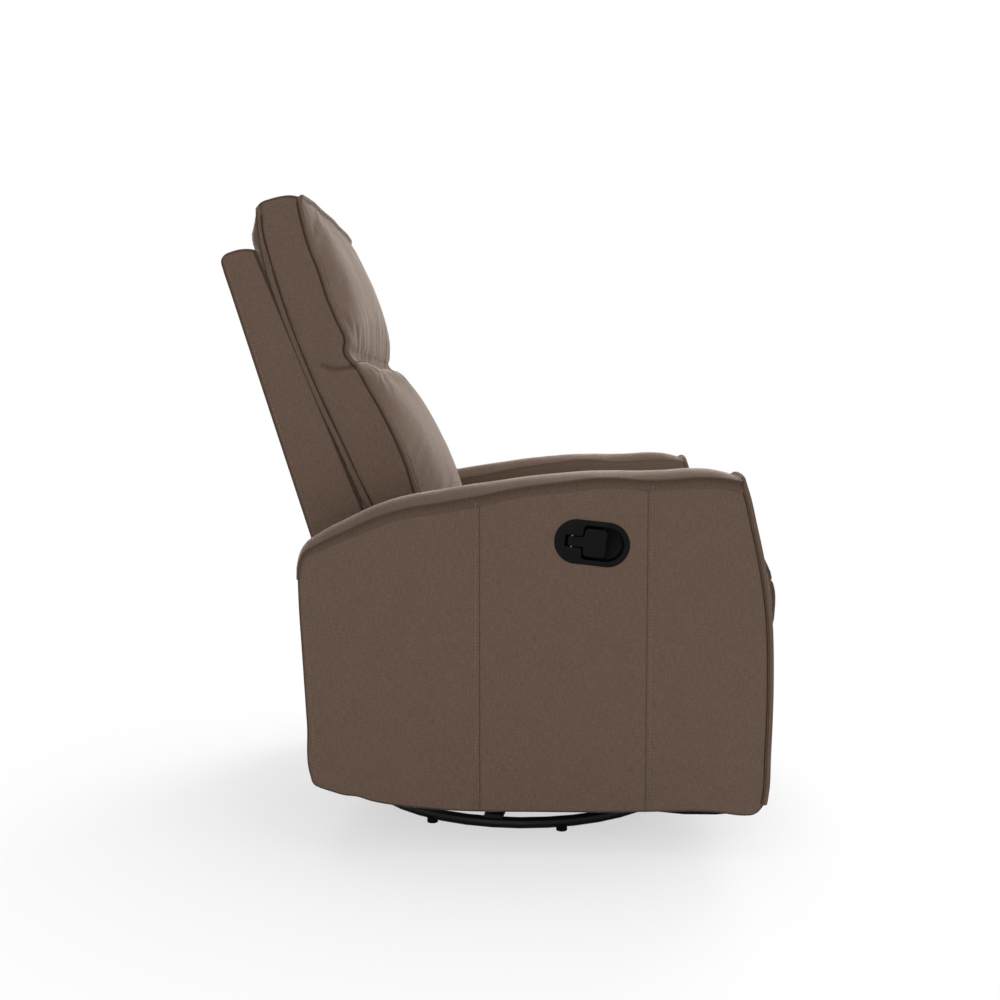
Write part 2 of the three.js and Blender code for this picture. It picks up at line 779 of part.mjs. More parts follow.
// Top, nose and rear are crowned and have round edges, the sides draw in, and the underside is flat
const seatHalfWidth = armInnerY - sideGap;
function seatPoint(station, x, z) {
  const inset = edgeInset(seatHalfWidth * (1 - Math.abs(station)), seatEdgeRadius);
  const crownShare = 1 - station * station;
  const topShare = shareBetween(z, seatNoseZ, seatCushionTopZ);
  const frontShare = shareBetween(x, noseBackX, seatNoseX);
  const rearInset = x === seatCushionRearX ? inset * shareBetween(z, cushionLowZ, seatCushionRearTopZ) : 0;
  const draw = seatSideDraw * Math.sin(Math.PI * shareBetween(z, cushionLowZ, seatCushionTopZ));
  return new THREE.Vector3(
    x + rearInset + frontShare * (seatNoseCrown * crownShare - inset),
    station * (seatHalfWidth - draw),
    z + topShare * (seatCushionCrown * crownShare - inset),
  );
}

const seatRing = (station) => seatOutline.map(({ x, y: z }) => seatPoint(station, x, z));

// The sides are closed about a place above the corner between the nose and the rail
function closeSeatSide(ring, base, points) {
  const heart = seatPoint(Math.sign(ring[0].y), seatNoseBottomX, (cushionLowZ + seatCushionTopZ) / 2);
  return closeByFan(ring, base, points, heart);
}
add('seat_cushion', loft(stationShares.map(seatRing), closeSeatSide), fabric());

// Arms
const armLength = armFrontX - armRearX;
const armHeight = armTopZ - armBottomZ;
const armPoint = ([alongShare, upShare]) =>
  new THREE.Vector2(armRearX + armLength * alongShare, armBottomZ + armHeight * upShare);

// Places on the arm's outline as shares of its length and height
const armSeamShares = [[0.015, 0.785], [0.107, 0.845], [0.308, 0.925], [0.473, 0.968], [0.64, 0.999],
  [0.824, 1], [0.936, 0.992]];
const armFrontShares = [[0.994, 0.09], [1, 0.37], [0.987, 0.677], [0.962, 0.82], [0.938, 0.94]];
const armRearShares = [[0, 0.64], [0.008, 0.34], [0.024, 0.09]];
const armBottomShares = [[0.14, 0.03], [0.3, 0.008], [0.52, 0], [0.74, 0], [0.986, 0]];

const armPadStart = new THREE.Vector2(armRearX, armPadStartZ);
const armSeam = new THREE.SplineCurve([armPadStart, ...armSeamShares.map(armPoint)]);

// The top seam moved inwards, for the surface that the arm pad lies on
function seamPoint(t, inward) {
  const point = armSeam.getPoint(t);
  const tangent = armSeam.getTangent(t);
  return new THREE.Vector2(point.x + tangent.y * inward, point.y - tangent.x * inward);
}

const seamPlaces = Array.from({ length: seamSteps + 1 }, (_, i) => i / seamSteps);

function armBodyShape() {
  const shape = new THREE.Shape();
  shape.moveTo(armRearFootX, armRearFootZ);
  shape.splineThru(armBottomShares.map(armPoint));
  shape.splineThru(armFrontShares.map(armPoint));
  const under = seamPlaces.map((t) => seamPoint(t, armPadThickness + seatGap)).reverse();
  under.forEach((point) => shape.lineTo(point.x, point.y));
  shape.lineTo(armRearX, armPadStartZ - seatGap);
  shape.splineThru(armRearShares.map(armPoint));
  shape.closePath();
  return shape;
}

// Crown of the pad across the arm, and how it sinks to its ends
const padCrownShares = [0, 0.42, 0.72, 0.9, 0.98, 1, 0.98, 0.9, 0.72, 0.42, 0];
const padEndShare = 0.6;
const padFadeShare = 0.12;

function armPadGeometry() {
  const rings = seamPlaces.map((t) => {
    const low = seamPoint(t, armPadThickness);
    const fade = Math.min(1, Math.min(t, 1 - t) / padFadeShare);
    const crown = armPadCrown * (padEndShare + (1 - padEndShare) * Math.sin((fade * Math.PI) / 2));
    const last = padCrownShares.length - 1;
    const top = padCrownShares.map((share, i) => {
      const point = seamPoint(t, -crown * share);
      return new THREE.Vector3(point.x, armInnerY + (armThickness * i) / last, point.y);
    });
    return [new THREE.Vector3(low.x, armInnerY, low.y), ...top, new THREE.Vector3(low.x, halfWidth, low.y)];
  });
  return loft(rings);
}

const armBolts = Array.from({ length: armBoltCount }, (_, i) => [armBoltX + i * armBoltPitch, armBoltZ]);
const armBoltHoles = armBolts.map((place) =>
  rodY(place, boreFor(boltRadius), armInnerY - overrun, armInnerY + armBoltReach + seatGap));
const armBodyGeometry = cut(alongY(armBodyShape(), armInnerY, halfWidth, splineSteps), ...armBoltHoles);
add('arm_body_left', armBodyGeometry, fabric());
addPair('arm_pad', armPadGeometry(), fabric);

// Release handle, drawn about its own middle, then tilted into the right arm's outer face
const bezelRadius = bezelHeight / 2;
const bezelHalfStraight = bezelLength / 2 - bezelRadius;
const stadium = (radius) => capsule([-bezelHalfStraight, 0], [bezelHalfStraight, 0], radius);
const bezelFaceY = halfWidth + bezelProud;
const cupBackY = halfWidth - cupDepth;
const cupRadius = bezelRadius - bezelRim + cupWall;
const pocketEndX = bezelHalfStraight + bezelRadius - bezelRim;
const pocketStartX = pocketEndX - pocketLength;
const stemStartX = pocketStartX - stemLength;
const pinFromStemStart = stemHalfHeight / 2;
const handlePinX = stemStartX + pinFromStemStart;
const paddleFaceY = bezelFaceY - paddleSink;
const paddleBackY = paddleFaceY - paddleThickness;
const handlePinY = paddleFaceY - paddleThickness / 2;

function placeHandle(geometry) {
  geometry.rotateY(-handleTilt);
  geometry.translate(handleX, 0, handleZ);
  return mirrored(geometry);
}

function pocketShape() {
  const shape = new THREE.Shape();
  shape.moveTo(pocketStartX, -pocketHalfHeight);
  shape.lineTo(pocketEndX - pocketHalfHeight, -pocketHalfHeight);
  shape.absarc(pocketEndX - pocketHalfHeight, 0, pocketHalfHeight, -Math.PI / 2, Math.PI / 2, false);
  shape.lineTo(pocketStartX, pocketHalfHeight);
  shape.closePath();
  return shape;
}

function bezelGeometry() {
  const levels = [
    [halfWidth + seatGap, bezelRadius],
    [bezelFaceY - bezelChamfer, bezelRadius],
    [bezelFaceY, bezelRadius - bezelChamfer],
  ];
  const flange = loft(levels.map(([y, radius]) => {
    const outline = refined(stadium(radius).getPoints(curveSteps), bezelLength);
    return outline.map((point) => new THREE.Vector3(point.x, y, point.y));
  }));
  const cup = alongY(stadium(cupRadius), cupBackY, halfWidth + bezelProud / 2, curveSteps);
  const pocket = alongY(pocketShape(), cupBackY + cupWall, bezelFaceY + overrun, curveSteps);
  const slotHalf = stemHalfHeight + paddleGap;
  const slot = block(stemStartX - slotBehindPin, pocketStartX + overrun, cupBackY + cupWall * 2,
    bezelFaceY + overrun, -slotHalf, slotHalf);
  const pinBore = handleRod(boreFor(handlePinRadius), slotHalf * 2 - paddleGap);
  return cut(join(flange, cup), pocket, slot, pinBore);
}

// A rod across the handle's slot, on the paddle's hinge line
function handleRod(radius, halfLength) {
  return rodZ(handlePinX, handlePinY, radius, -halfLength, halfLength);
}

function paddleGeometry() {
  const wide = new THREE.Shape();
  const [left, right] = [pocketStartX + paddleSwingGap, pocketStartX + paddleWidth];
  const high = paddleHalfHeight;
  wide.moveTo(left + paddleCorner, -high);
  wide.lineTo(right - paddleCorner, -high);
  wide.lineTo(right, -high + paddleCorner + paddleFacet);
  wide.lineTo(right, high - paddleCorner - paddleFacet);
  wide.lineTo(right - paddleCorner, high);
  wide.lineTo(left + paddleCorner, high);
  wide.absarc(left + paddleCorner, high - paddleCorner, paddleCorner, Math.PI / 2, Math.PI, false);
  wide.absarc(left + paddleCorner, -high + paddleCorner, paddleCorner, Math.PI, Math.PI * 1.5, false);
  const stem = block(handlePinX, left + paddleCorner, paddleBackY, paddleFaceY,
    -stemHalfHeight, stemHalfHeight);
  const knuckle = handleRod(paddleThickness / 2, stemHalfHeight);
  const body = join(alongY(wide, paddleBackY, paddleFaceY), stem, knuckle);
  return cut(body, handleRod(boreFor(handlePinRadius), stemHalfHeight + overrun));
}

const recess = alongY(stadium(cupRadius + seatGap), cupBackY - seatGap, halfWidth + overrun, curveSteps);
add('arm_body_right', cut(mirrored(armBodyGeometry), placeHandle(recess)), fabric());
add('handle_bezel', placeHandle(bezelGeometry()), blackPlastic());
add('handle_paddle', placeHandle(paddleGeometry()), blackPlastic());
const handlePinHalf = stemHalfHeight * 2 - paddleGap;
add('handle_pin', placeHandle(handleRod(handlePinRadius, handlePinHalf)), zincSteel());

// Skid under the front end of each arm, a shallow lens
function skidShape() {
  const middle = (skidRearX + skidFrontX) / 2;
  const top = armBottomZ - seatGap;
  const shape = new THREE.Shape();
  shape.moveTo(skidRearX, top);
  shape.quadraticCurveTo(middle, top - skidDrop * 2, skidFrontX, top);
  shape.closePath();
  return shape;
}

addPair('arm_skid', alongY(skidShape(), armInnerY + skidInset, halfWidth - skidInset), blackPlastic);

// Rear rail
add('rear_rail', block(rearRailX, rearRailX + rearRailThickness, -platePlaneY, platePlaneY,
  rearRailBottomZ, rearRailTopZ), fabric());

// Back: a place given along and forwards, in x and z
function onBack(u, w) {
  return new THREE.Vector2(
    backPivotX - u * Math.sin(backLean) + w * Math.cos(backLean),
    backPivotZ + u * Math.cos(backLean) + w * Math.sin(backLean),
  );
}

const backFrontW = (u) => THREE.MathUtils.mapLinear(u, backFrameStartU, backFrameTopU,
  backFrameFootFrontW, backFrameTopFrontW);

function backFrameShape() {
  const shape = new THREE.Shape();
  const go = (method, ...places) => shape[method](...places.flatMap(([u, w]) => {
    const point = onBack(u, w);
    return [point.x, point.y];
  }));
  const inset = backFrameBevel;
  const [low, high] = [backFrameStartU + inset, backFrameTopU - inset];
  const [rear, round] = [backFrameRearW + inset, backFrameRound];
  go('moveTo', [low, rear]);
  go('lineTo', [low, backFrameFootFrontW - inset]);
  go('lineTo', [high, backFrameTopFrontW - inset]);
  go('lineTo', [high, rear + round]);
  go('quadraticCurveTo', [high, rear], [high - round, rear]);
  shape.closePath();
  return shape;
}

const backFrameSolid = new THREE.ExtrudeGeometry(backFrameShape(), {
  depth: 2 * (backHalfWidth - backFrameBevel),
  bevelEnabled: true,
  bevelThickness: backFrameBevel,
  bevelSize: backFrameBevel,
  bevelSegments: bevelSteps,
  curveSegments: curveSteps,
});
backFrameSolid.rotateX(Math.PI / 2);
backFrameSolid.translate(0, backHalfWidth - backFrameBevel, 0);

// Flat bars that carry the back on its pivots, let into the sides of its frame
const barOuterY = backHalfWidth - seatGap;
const barInnerY = barOuterY - sheet;
const barEnd = onBack(backBarLength, 0);
const barShape = capsule(backPivot, [barEnd.x, barEnd.y], backBarHalfWidth);
barShape.holes.push(roundHole(backPivot, boreFor(backPinRadius)));
addPair('back_bar', alongY(barShape, barInnerY, barOuterY), blackSteel);

const rebate = alongY(capsule(backPivot, [barEnd.x, barEnd.y], backBarHalfWidth + seatGap),
  barInnerY - seatGap, backHalfWidth + overrun);
add('back_frame', cut(backFrameSolid, rebate, mirrored(rebate)), fabric());

// Back cushion: a headrest over a lumbar roll, with a sewn gather between them. Each row gives a
// place along the cushion, then the depth of its rear seam, its front welt and its crown, all as
// shares of the cushion's height and depth
const backSectionShares = [
  [0, 0.3, 0.58, 0.9],
  [0.03, 0.27, 0.61, 0.955],
  [0.14, 0.235, 0.635, 0.985],
  [0.26, 0.17, 0.615, 0.955],
  [0.36, 0.125, 0.575, 0.905],
  [0.44, 0.1, 0.525, 0.845],
  [0.485, 0.085, 0.48, 0.77],
  [0.51, 0.08, 0.45, 0.685],
  [0.535, 0.075, 0.44, 0.74],
  [0.6, 0.065, 0.45, 0.79],
  [0.7, 0.05, 0.435, 0.795],
  [0.78, 0.048, 0.43, 0.77],
  [0.85, 0.047, 0.43, 0.72],
  [0.93, 0.065, 0.44, 0.65],
  [0.98, 0.1, 0.445, 0.56],
  [1, 0.14, 0.43, 0.46],
];
const backAcrossShares = [-1, -0.92, -0.78, -0.6, -0.4, -0.2, 0, 0.2, 0.4, 0.6, 0.78, 0.92, 1];
const backCrownPower = 2.4; // how squarely the crown falls off to the welts
const backRearPower = 4;
const backTopShare = 0.97; // above this the rear draws away from the frame
const backTopRestShare = 0.3;

function backRing([upShare, seamShare, weltShare, crownShare]) {
  const height = backCushionTopU - backCushionStartU;
  const u = backCushionStartU + height * upShare;
  const half = backHalfWidth - backSideDraw * Math.sin(Math.PI * upShare);
  const place = (across, w) => {
    const dome = backCushionDome * (1 - across * across) * upShare;
    const point = onBack(u + dome, w);
    return new THREE.Vector3(point.x, across * half, point.y);
  };
  const rest = backFrontW(Math.min(u, backFrameTopU)) + seatGap * 2;
  const seam = Math.max(seamShare * backCushionDepth, rest);
  const [welt, crown] = [weltShare * backCushionDepth, crownShare * backCushionDepth];
  const restShare = upShare < backTopShare ? 1 : backTopRestShare;
  const rear = backAcrossShares.map((across) =>
    place(across, seam + (rest - seam) * restShare * (1 - Math.abs(across) ** backRearPower)));
  const front = backAcrossShares.map((across) =>
    place(across, welt + (crown - welt) * (1 - Math.abs(across) ** backCrownPower)));
  return [...rear, ...front.reverse()];
}

add('back_cushion', loft(backSectionShares.map(backRing), closeByStrip), fabric());

// Footrest linkage, folded. The drive link turns the whole pantograph; the carrier link and the
// steady link never turn, because each pair of links makes a parallelogram
const turnVector = (length, angle) => [length * Math.cos(angle), length * Math.sin(angle)];
const plus = (p, q) => [p[0] + q[0], p[1] + q[1]];
const elbow = plus(drivePivot, turnVector(driveLinkLength, driveLinkAngle));
const knee = plus(elbow, [pivotStepX, pivotStepZ]);
const toe = plus(knee, [0, -bracketPivotStep]);
const upperBracketPivot = [bracketPivotX, bracketPivotZ];
const lowerBracketPivot = plus(upperBracketPivot, [0, -bracketPivotStep]);

const firstOuterY = plateInnerY - layerGap;
const firstInnerY = firstOuterY - linkThickness;
const secondOuterY = firstInnerY - layerGap;
const secondInnerY = secondOuterY - linkThickness;

// A flat link through its pivots in one of the two layers, with round ends, bores and pressed studs
const firstLayer = [firstInnerY, firstOuterY];
const secondLayer = [secondInnerY, secondOuterY];

function flatLink(places, [innerY, outerY], bores, studs) {
  const bars = places.slice(1).map((place, i) =>
    alongY(capsule(places[i], place, linkHalfWidth), innerY, outerY));
  const hubs = places.map((place) => rodY(place, linkHubRadius, innerY, outerY));
  const shafts = studs.flatMap((place) => [
    rodY(place, linkPinRadius, secondInnerY - seatGap - studHead / 2, innerY + (outerY - innerY) / 2),
    rodY(place, studHeadRadius, secondInnerY - seatGap - studHead, secondInnerY - seatGap),
  ]);
  const holes = bores.map((place) =>
    rodY(place, boreFor(linkPinRadius), innerY - overrun, outerY + overrun));
  return cut(join(...bars, ...hubs, ...shafts), ...holes);
}

const carrierPivots = [elbow, knee, upperBracketPivot];
const steadyPivots = [toe, lowerBracketPivot];
addPair('drive_link', flatLink([drivePivot, elbow], firstLayer, [drivePivot], [elbow]), blackSteel);
addPair('follower_link', flatLink([secondPivot, knee, toe], firstLayer, [secondPivot], [knee, toe]),
  blackSteel);
addPair('carrier_link', flatLink(carrierPivots, secondLayer, carrierPivots, []), blackSteel);
addPair('steady_link', flatLink(steadyPivots, secondLayer, steadyPivots, []), blackSteel);

// Side plates, with the pins of both links, the back's pivot and the bolts into the arm
const plateMiddleY = plateInnerY + sheet / 2;
const drivePin = rodY(drivePivot, linkPinRadius, firstInnerY - pinHead, plateMiddleY);
const followerPin = pressedPin(secondPivot, linkPinRadius, studHeadRadius, plateMiddleY,
  firstInnerY - seatGap, studHead);
const backPin = pressedPin(backPivot, backPinRadius, pinHeadRadius, plateMiddleY,
  barInnerY - seatGap, pinHead);
const armBolt = (place) => join(
  rodY(place, boltRadius, plateInnerY - boltHeadHeight / 2, platePlaneY + armBoltReach),
  rodY(place, boltHeadRadius, plateInnerY - boltHeadHeight, plateMiddleY),
);
const sidePlateShape = roundedPlate([
  [carriageRearTubeX, carriageTubeZ - sidePlateDrop],
  drivePivot,
  [secondPivot[0], sidePlateTopZ - sidePlateRadius],
  [backPivotX, sidePlateTopZ - sidePlateRadius],
], sidePlateRadius);
const sidePlate = join(alongY(sidePlateShape, plateInnerY, platePlaneY), drivePin, followerPin, backPin,
  ...armBolts.map(armBolt));
addPair('side_plate', sidePlate, blackSteel);

const torqueTubeHalf = firstInnerY - seatGap;
const torqueTubeLength = torqueTubeHalf * 2;
const torqueTube = cut(
  rodY(drivePivot, torqueTubeRadius, -torqueTubeHalf, torqueTubeHalf),
  rodY(drivePivot, torqueTubeRadius - torqueTubeWall, -torqueTubeLength, torqueTubeLength),
);
add('torque_tube', torqueTube, blackSteel());

// Footrest: a bracket on each side, a board and its pad
function bracketGeometry() {
  const heel = footrestBoardX - seatGap;
  const leaf = new THREE.Shape();
  const [lowZ, highZ] = [lowerBracketPivot[1] - bracketPivotStep, upperBracketPivot[1] + bracketHalfWidth];
  leaf.moveTo(heel, lowZ);
  leaf.lineTo(heel, highZ);
  leaf.absarc(bracketPivotX, upperBracketPivot[1], bracketHalfWidth, Math.PI / 2, Math.PI, false);
  leaf.lineTo(bracketPivotX - bracketHalfWidth, lowerBracketPivot[1]);
  leaf.closePath();
  const flange = block(heel - bracketFlangeThickness, heel, firstInnerY - bracketFlange, firstOuterY,
    lowZ, highZ);
  const studs = [upperBracketPivot, lowerBracketPivot].flatMap((place) => [
    rodY(place, linkPinRadius, secondInnerY - seatGap - studHead / 2, firstInnerY + linkThickness / 2),
    rodY(place, studHeadRadius, secondInnerY - seatGap - studHead, secondInnerY - seatGap),
  ]);
  return join(alongY(leaf, firstInnerY, firstOuterY), flange, ...studs);
}

addPair('footrest_bracket', bracketGeometry(), blackSteel);
add('footrest_board', block(footrestBoardX, footrestBoardX + footrestBoardThickness,
  -footrestBoardHalfWidth, footrestBoardHalfWidth, footrestBoardBottomZ, footrestBoardTopZ), wood());

function footrestPadGeometry() {
  const back = footrestBoardX + footrestBoardThickness + seatGap;
  const [low, high] = [footrestBoardBottomZ - footrestPadOverhang, footrestBoardTopZ + footrestPadOverhang];
  const rings = stationShares.map((station) => {
    const inset = edgeInset(footrestPadHalfWidth * (1 - Math.abs(station)), footrestPadRound);
    const crown = footrestPadCrown * (1 - station * station);
    const front = back + footrestPadThickness + crown - inset;
    const outline = new THREE.Shape();
    outline.moveTo(back, low);
    outline.lineTo(front - footrestPadRound, low);
    outline.quadraticCurveTo(front, low, front, low + footrestPadRound);
    outline.lineTo(front, high - footrestPadRound);
    outline.quadraticCurveTo(front, high, front - footrestPadRound, high);
    outline.lineTo(back, high);
    const y = station * footrestPadHalfWidth;
    return outline.getPoints(curveSteps).map((point) => new THREE.Vector3(point.x, y, point.y));
  });
  return loft(rings);
}

add('footrest_pad', footrestPadGeometry(), fabric());

// Joint centres, for whoever drives the model, in the same places as the pieces
const joints = {
  swivel: [0, 0, 0],
  glideRear: [upperPivots[1][0], 0, upperPivots[1][1]],
  glideFront: [upperPivots[0][0], 0, upperPivots[0][1]],
  carriageTilt: [lowerPivots[1][0], 0, lowerPivots[1][1]],
  recline: [backPivotX, 0, backPivotZ],
  drive: [drivePivot[0], 0, drivePivot[1]],
  follower: [secondPivot[0], 0, secondPivot[1]],
  carrier: [elbow[0], 0, elbow[1]],
  steady: [toe[0], 0, toe[1]],
  footrest: [upperBracketPivot[0], 0, upperBracketPivot[1]],
};
const [handleCos, handleSin] = [Math.cos(handleTilt), Math.sin(handleTilt)];
joints.handle = [handleX + handlePinX * handleCos, -handlePinY, handleZ + handlePinX * handleSin];
joints.handleAxis = [-handleSin, 0, handleCos];

// The origin goes to the middle of the whole box, at the floor
const box = new THREE.Box3().setFromObject(chair, true);
const middle = box.getCenter(new THREE.Vector3());
chair.position.set(-middle.x, -middle.y, -box.min.z);
chair.userData = { joints, shift: [-middle.x, -middle.y, -box.min.z] };

export default chair;
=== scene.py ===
# %% [markdown]
# # Swivel glider recliner
# A fabric covered armchair on a round swivel base. The seat hangs on four links and glides, the
# backrest reclines, and a footrest folds out on flat steel links. This notebook dresses the packed
# mechanical frame: it makes the padded and sewn pieces, the mouldings and the finishes.
#
# Shapes are worked out in millimetres from the swivel axis at the floor, with x forwards, y to the
# sitter's left and z up, and turned to metres in the frame's own place when a mesh is made.

import json
import math

import bpy
import bmesh
import numpy as np
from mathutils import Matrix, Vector


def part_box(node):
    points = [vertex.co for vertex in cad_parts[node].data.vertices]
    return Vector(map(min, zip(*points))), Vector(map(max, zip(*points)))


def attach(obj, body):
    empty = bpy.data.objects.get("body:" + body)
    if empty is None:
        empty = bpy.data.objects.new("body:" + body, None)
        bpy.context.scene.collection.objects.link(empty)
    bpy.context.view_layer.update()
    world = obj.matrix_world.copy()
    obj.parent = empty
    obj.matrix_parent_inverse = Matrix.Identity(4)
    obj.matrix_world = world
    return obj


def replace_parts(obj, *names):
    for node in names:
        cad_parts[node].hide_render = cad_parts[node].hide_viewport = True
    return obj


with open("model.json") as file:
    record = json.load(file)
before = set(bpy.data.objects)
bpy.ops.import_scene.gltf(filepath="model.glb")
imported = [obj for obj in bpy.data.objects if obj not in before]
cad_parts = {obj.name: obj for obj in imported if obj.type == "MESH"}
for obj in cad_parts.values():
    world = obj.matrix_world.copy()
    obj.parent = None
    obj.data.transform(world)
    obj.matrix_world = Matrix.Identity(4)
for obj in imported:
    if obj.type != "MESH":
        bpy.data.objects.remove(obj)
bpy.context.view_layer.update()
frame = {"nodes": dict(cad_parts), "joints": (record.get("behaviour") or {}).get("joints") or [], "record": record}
ORIGIN = next(np.array(joint["pos_m"]) for joint in frame["joints"] if joint["name"] == "swivel")
MM = 0.001


def node_box(node):
    """Lowest and highest corner of a frame node, in millimetres from the swivel axis."""
    low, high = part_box(node)
    return (np.array(low) - ORIGIN) / MM, (np.array(high) - ORIGIN) / MM


# %% [markdown]
# ## Lines through measured places
# Seams and edges were read off the photograph as a few places each. A smooth line through them
# gives as many points as a mesh needs. Stations along a line lie closer together at its ends and
# beside a seam, where the cloth turns sharply.


# %% Curves and stations
def run_of(points):
    """Length of a line of points up to each of them: 0, |p1 - p0|, |p1 - p0| + |p2 - p1| and so on."""
    return np.r_[0, np.cumsum(np.linalg.norm(np.diff(points, axis=0), axis=1))]


def smooth_curve(points, shares):
    """Points on a smooth line through the given ones, at shares of its length.

    Between neighbours p0 and p1 the line is the cubic
    (2t^3 - 3t^2 + 1) p0 + (t^3 - 2t^2 + t) h m0 + (3t^2 - 2t^3) p1 + (t^3 - t^2) h m1,
    where h is the chord and m the slope at each place.
    """
    p = np.asarray(points, float)
    s = run_of(p)
    slopes = np.gradient(p, s, axis=0)
    at = np.clip(np.asarray(shares, float), 0, 1) * s[-1]
    i = np.clip(np.searchsorted(s, at, side="right") - 1, 0, len(s) - 2)
    h = (s[i + 1] - s[i])[:, None]
    t = ((at - s[i]) / h[:, 0])[:, None]
    return (
        (2 * t**3 - 3 * t**2 + 1) * p[i]
        + (t**3 - 2 * t**2 + t) * h * slopes[i]
        + (3 * t**2 - 2 * t**3) * p[i + 1]
        + (t**3 - t**2) * h * slopes[i + 1]
    )


EDGE = np.array([0, 0.5, 1.2, 2.2, 3.6, 5.5, 8.0])
BESIDE = np.array([-7, -4, -2.2, -1.2, -0.5, 0, 0.5, 1.2, 2.2, 4, 7])
NO_LENGTH = 1e-12


def stations(length, step, seams=()):
    """Places from 0 to length, about a step apart, with more at both ends and beside each seam."""
    seams = np.asarray(seams, float)
    plain = np.linspace(0, length, max(3, int(round(length / step)) + 1))
    sharp = np.concatenate([EDGE, length - EDGE] + [seam + BESIDE for seam in seams])
    clear = np.abs(plain[:, None] - sharp[None, :]).min(axis=1) > step * 0.35
    places = np.unique(np.round(np.r_[plain[clear], sharp], 4))
    return places[(places >= 0) & (places <= length)]


def rounded(distance, radius):
    """How far a surface has dropped at a distance from its edge, when the edge is a quarter circle.

    drop = r (1 - sqrt(1 - (1 - d/r)^2)) within the radius, and 0 beyond it.
    """
    t = np.clip(1 - np.asarray(distance, float) / radius, 0, 1)
    return radius * (1 - np.sqrt(1 - t * t))


def near_line(distance, width):
    """A soft ridge, 1 on a line and fading to 0: exp(-(d / width)^2)."""
    return np.exp(-((np.asarray(distance, float) / width) ** 2))


def smooth_step(value, low, high):
    """0 below low, 1 above high, and 3t^2 - 2t^3 between."""
    t = np.clip((np.asarray(value, float) - low) / (high - low), 0, 1)
    return t * t * (3 - 2 * t)


RIPPLE_SUM = 2.6


def ripple(a, b, seed, size):
    """Slow uneven waves over a surface, about -1 to 1.

    The sum of five waves sin(2 pi (a cos q + b sin q) / w + f), over 2.6, where each has its own
    direction q, width w near the given size, and phase f.
    """
    random = np.random.default_rng(seed)
    total = np.zeros(np.broadcast(a, b).shape)
    for turn in range(5):
        q = random.uniform(0, math.tau)
        width = size * random.uniform(0.6, 1.6)
        phase = random.uniform(0, math.tau)
        total += np.sin(math.tau * (a * math.cos(q) + b * math.sin(q)) / width + phase)
    return total / RIPPLE_SUM


def from_polyline(points, line):
    """Distance of each point from a line of places, both given in a plane."""
    start, along = np.asarray(line, float)[:-1], np.diff(np.asarray(line, float), axis=0)
    span = np.maximum((along**2).sum(axis=1), NO_LENGTH)
    found = []
    for part in np.array_split(np.asarray(points, float).reshape(-1, 1, 2), 24):
        t = np.clip(((part - start) * along).sum(axis=2) / span, 0, 1)
        nearest = start + t[..., None] * along
        found.append(np.sqrt(((part - nearest) ** 2).sum(axis=2).min(axis=1)))
    return np.concatenate(found)


def standing(line, y):
    """A line of places (x, z) as (x, y, z), all at one y."""
    return np.insert(np.asarray(line, float), 1, y, axis=1)


# %% [markdown]
# ## Meshes from whole arrays
# Every surface here is a grid of vertices worked out at once as arrays. Its faces carry a UV map in
# metres, so that the cloth's threads have their real pitch, and a value called crease that is 1 in
# a seam and 0 away from it, by which the cloth's colour is darkened there as painted shade.


# %% Mesh building
def grid_quads(rows, columns, wrap=False):
    """Four-sided faces of a grid of vertices numbered row by row, joined round when wrapped."""
    r = np.arange(rows - 1)[:, None]
    c = np.arange(columns if wrap else columns - 1)[None, :]
    right = (c + 1) % columns
    quads = np.stack([r * columns + c, r * columns + right, (r + 1) * columns + right, (r + 1) * columns + c], -1)
    return quads.reshape(-1, 4)


def linked(name, data):
    """An object with the given mesh, lamp or camera, put in the scene."""
    thing = bpy.data.objects.new(name, data)
    bpy.context.scene.collection.objects.link(thing)
    return thing


def meshed(name, points, faces, uv=None):
    """A mesh object from points in millimetres. With corner UVs, in millimetres too, it shades smoothly."""
    mesh = bpy.data.meshes.new(name)
    mesh.from_pydata((np.asarray(points) * MM + ORIGIN).tolist(), [], faces)
    if uv is not None:
        layer = mesh.uv_layers.new(name="UVMap")
        layer.data.foreach_set("uv", (uv * MM).astype(np.float32).reshape(-1))
        mesh.polygons.foreach_set("use_smooth", np.ones(len(faces), bool))
    return linked(name, mesh)


def new_object(name, points, sheets, crease, body, finish):
    """A closed piece of cloth from points in millimetres and sheets of (faces, uv for every point)."""
    faces = np.concatenate([faces for faces, _ in sheets])
    corner_uv = np.concatenate([np.asarray(uv)[faces.reshape(-1)] for faces, uv in sheets])
    thing = meshed(name, points, faces.tolist(), corner_uv)
    # The crease value darkens the cloth's colour: painted shade in the seams.
    if crease is not None:
        attribute = thing.data.attributes.new("crease", "FLOAT", "POINT")
        attribute.data.foreach_set("value", np.asarray(crease, np.float32))
    close_up(thing)
    return dress(thing, body, finish)


def close_up(thing, gap=1e-6):
    """Merges vertices that coincide and turns all faces outwards."""
    work = bmesh.new()
    work.from_mesh(thing.data)
    bmesh.ops.remove_doubles(work, verts=work.verts, dist=gap)
    bmesh.ops.dissolve_degenerate(work, edges=work.edges, dist=gap)
    bmesh.ops.recalc_face_normals(work, faces=work.faces)
    if work.calc_volume(signed=True) < 0:
        bmesh.ops.reverse_faces(work, faces=work.faces)
    work.to_mesh(thing.data)
    work.free()
    thing.data.update()


def applied(thing):
    """Bakes a piece's modifiers into its mesh."""
    view = bpy.context.evaluated_depsgraph_get()
    baked = bpy.data.meshes.new_from_object(thing.evaluated_get(view), depsgraph=view)
    thing.modifiers.clear()
    thing.data = baked


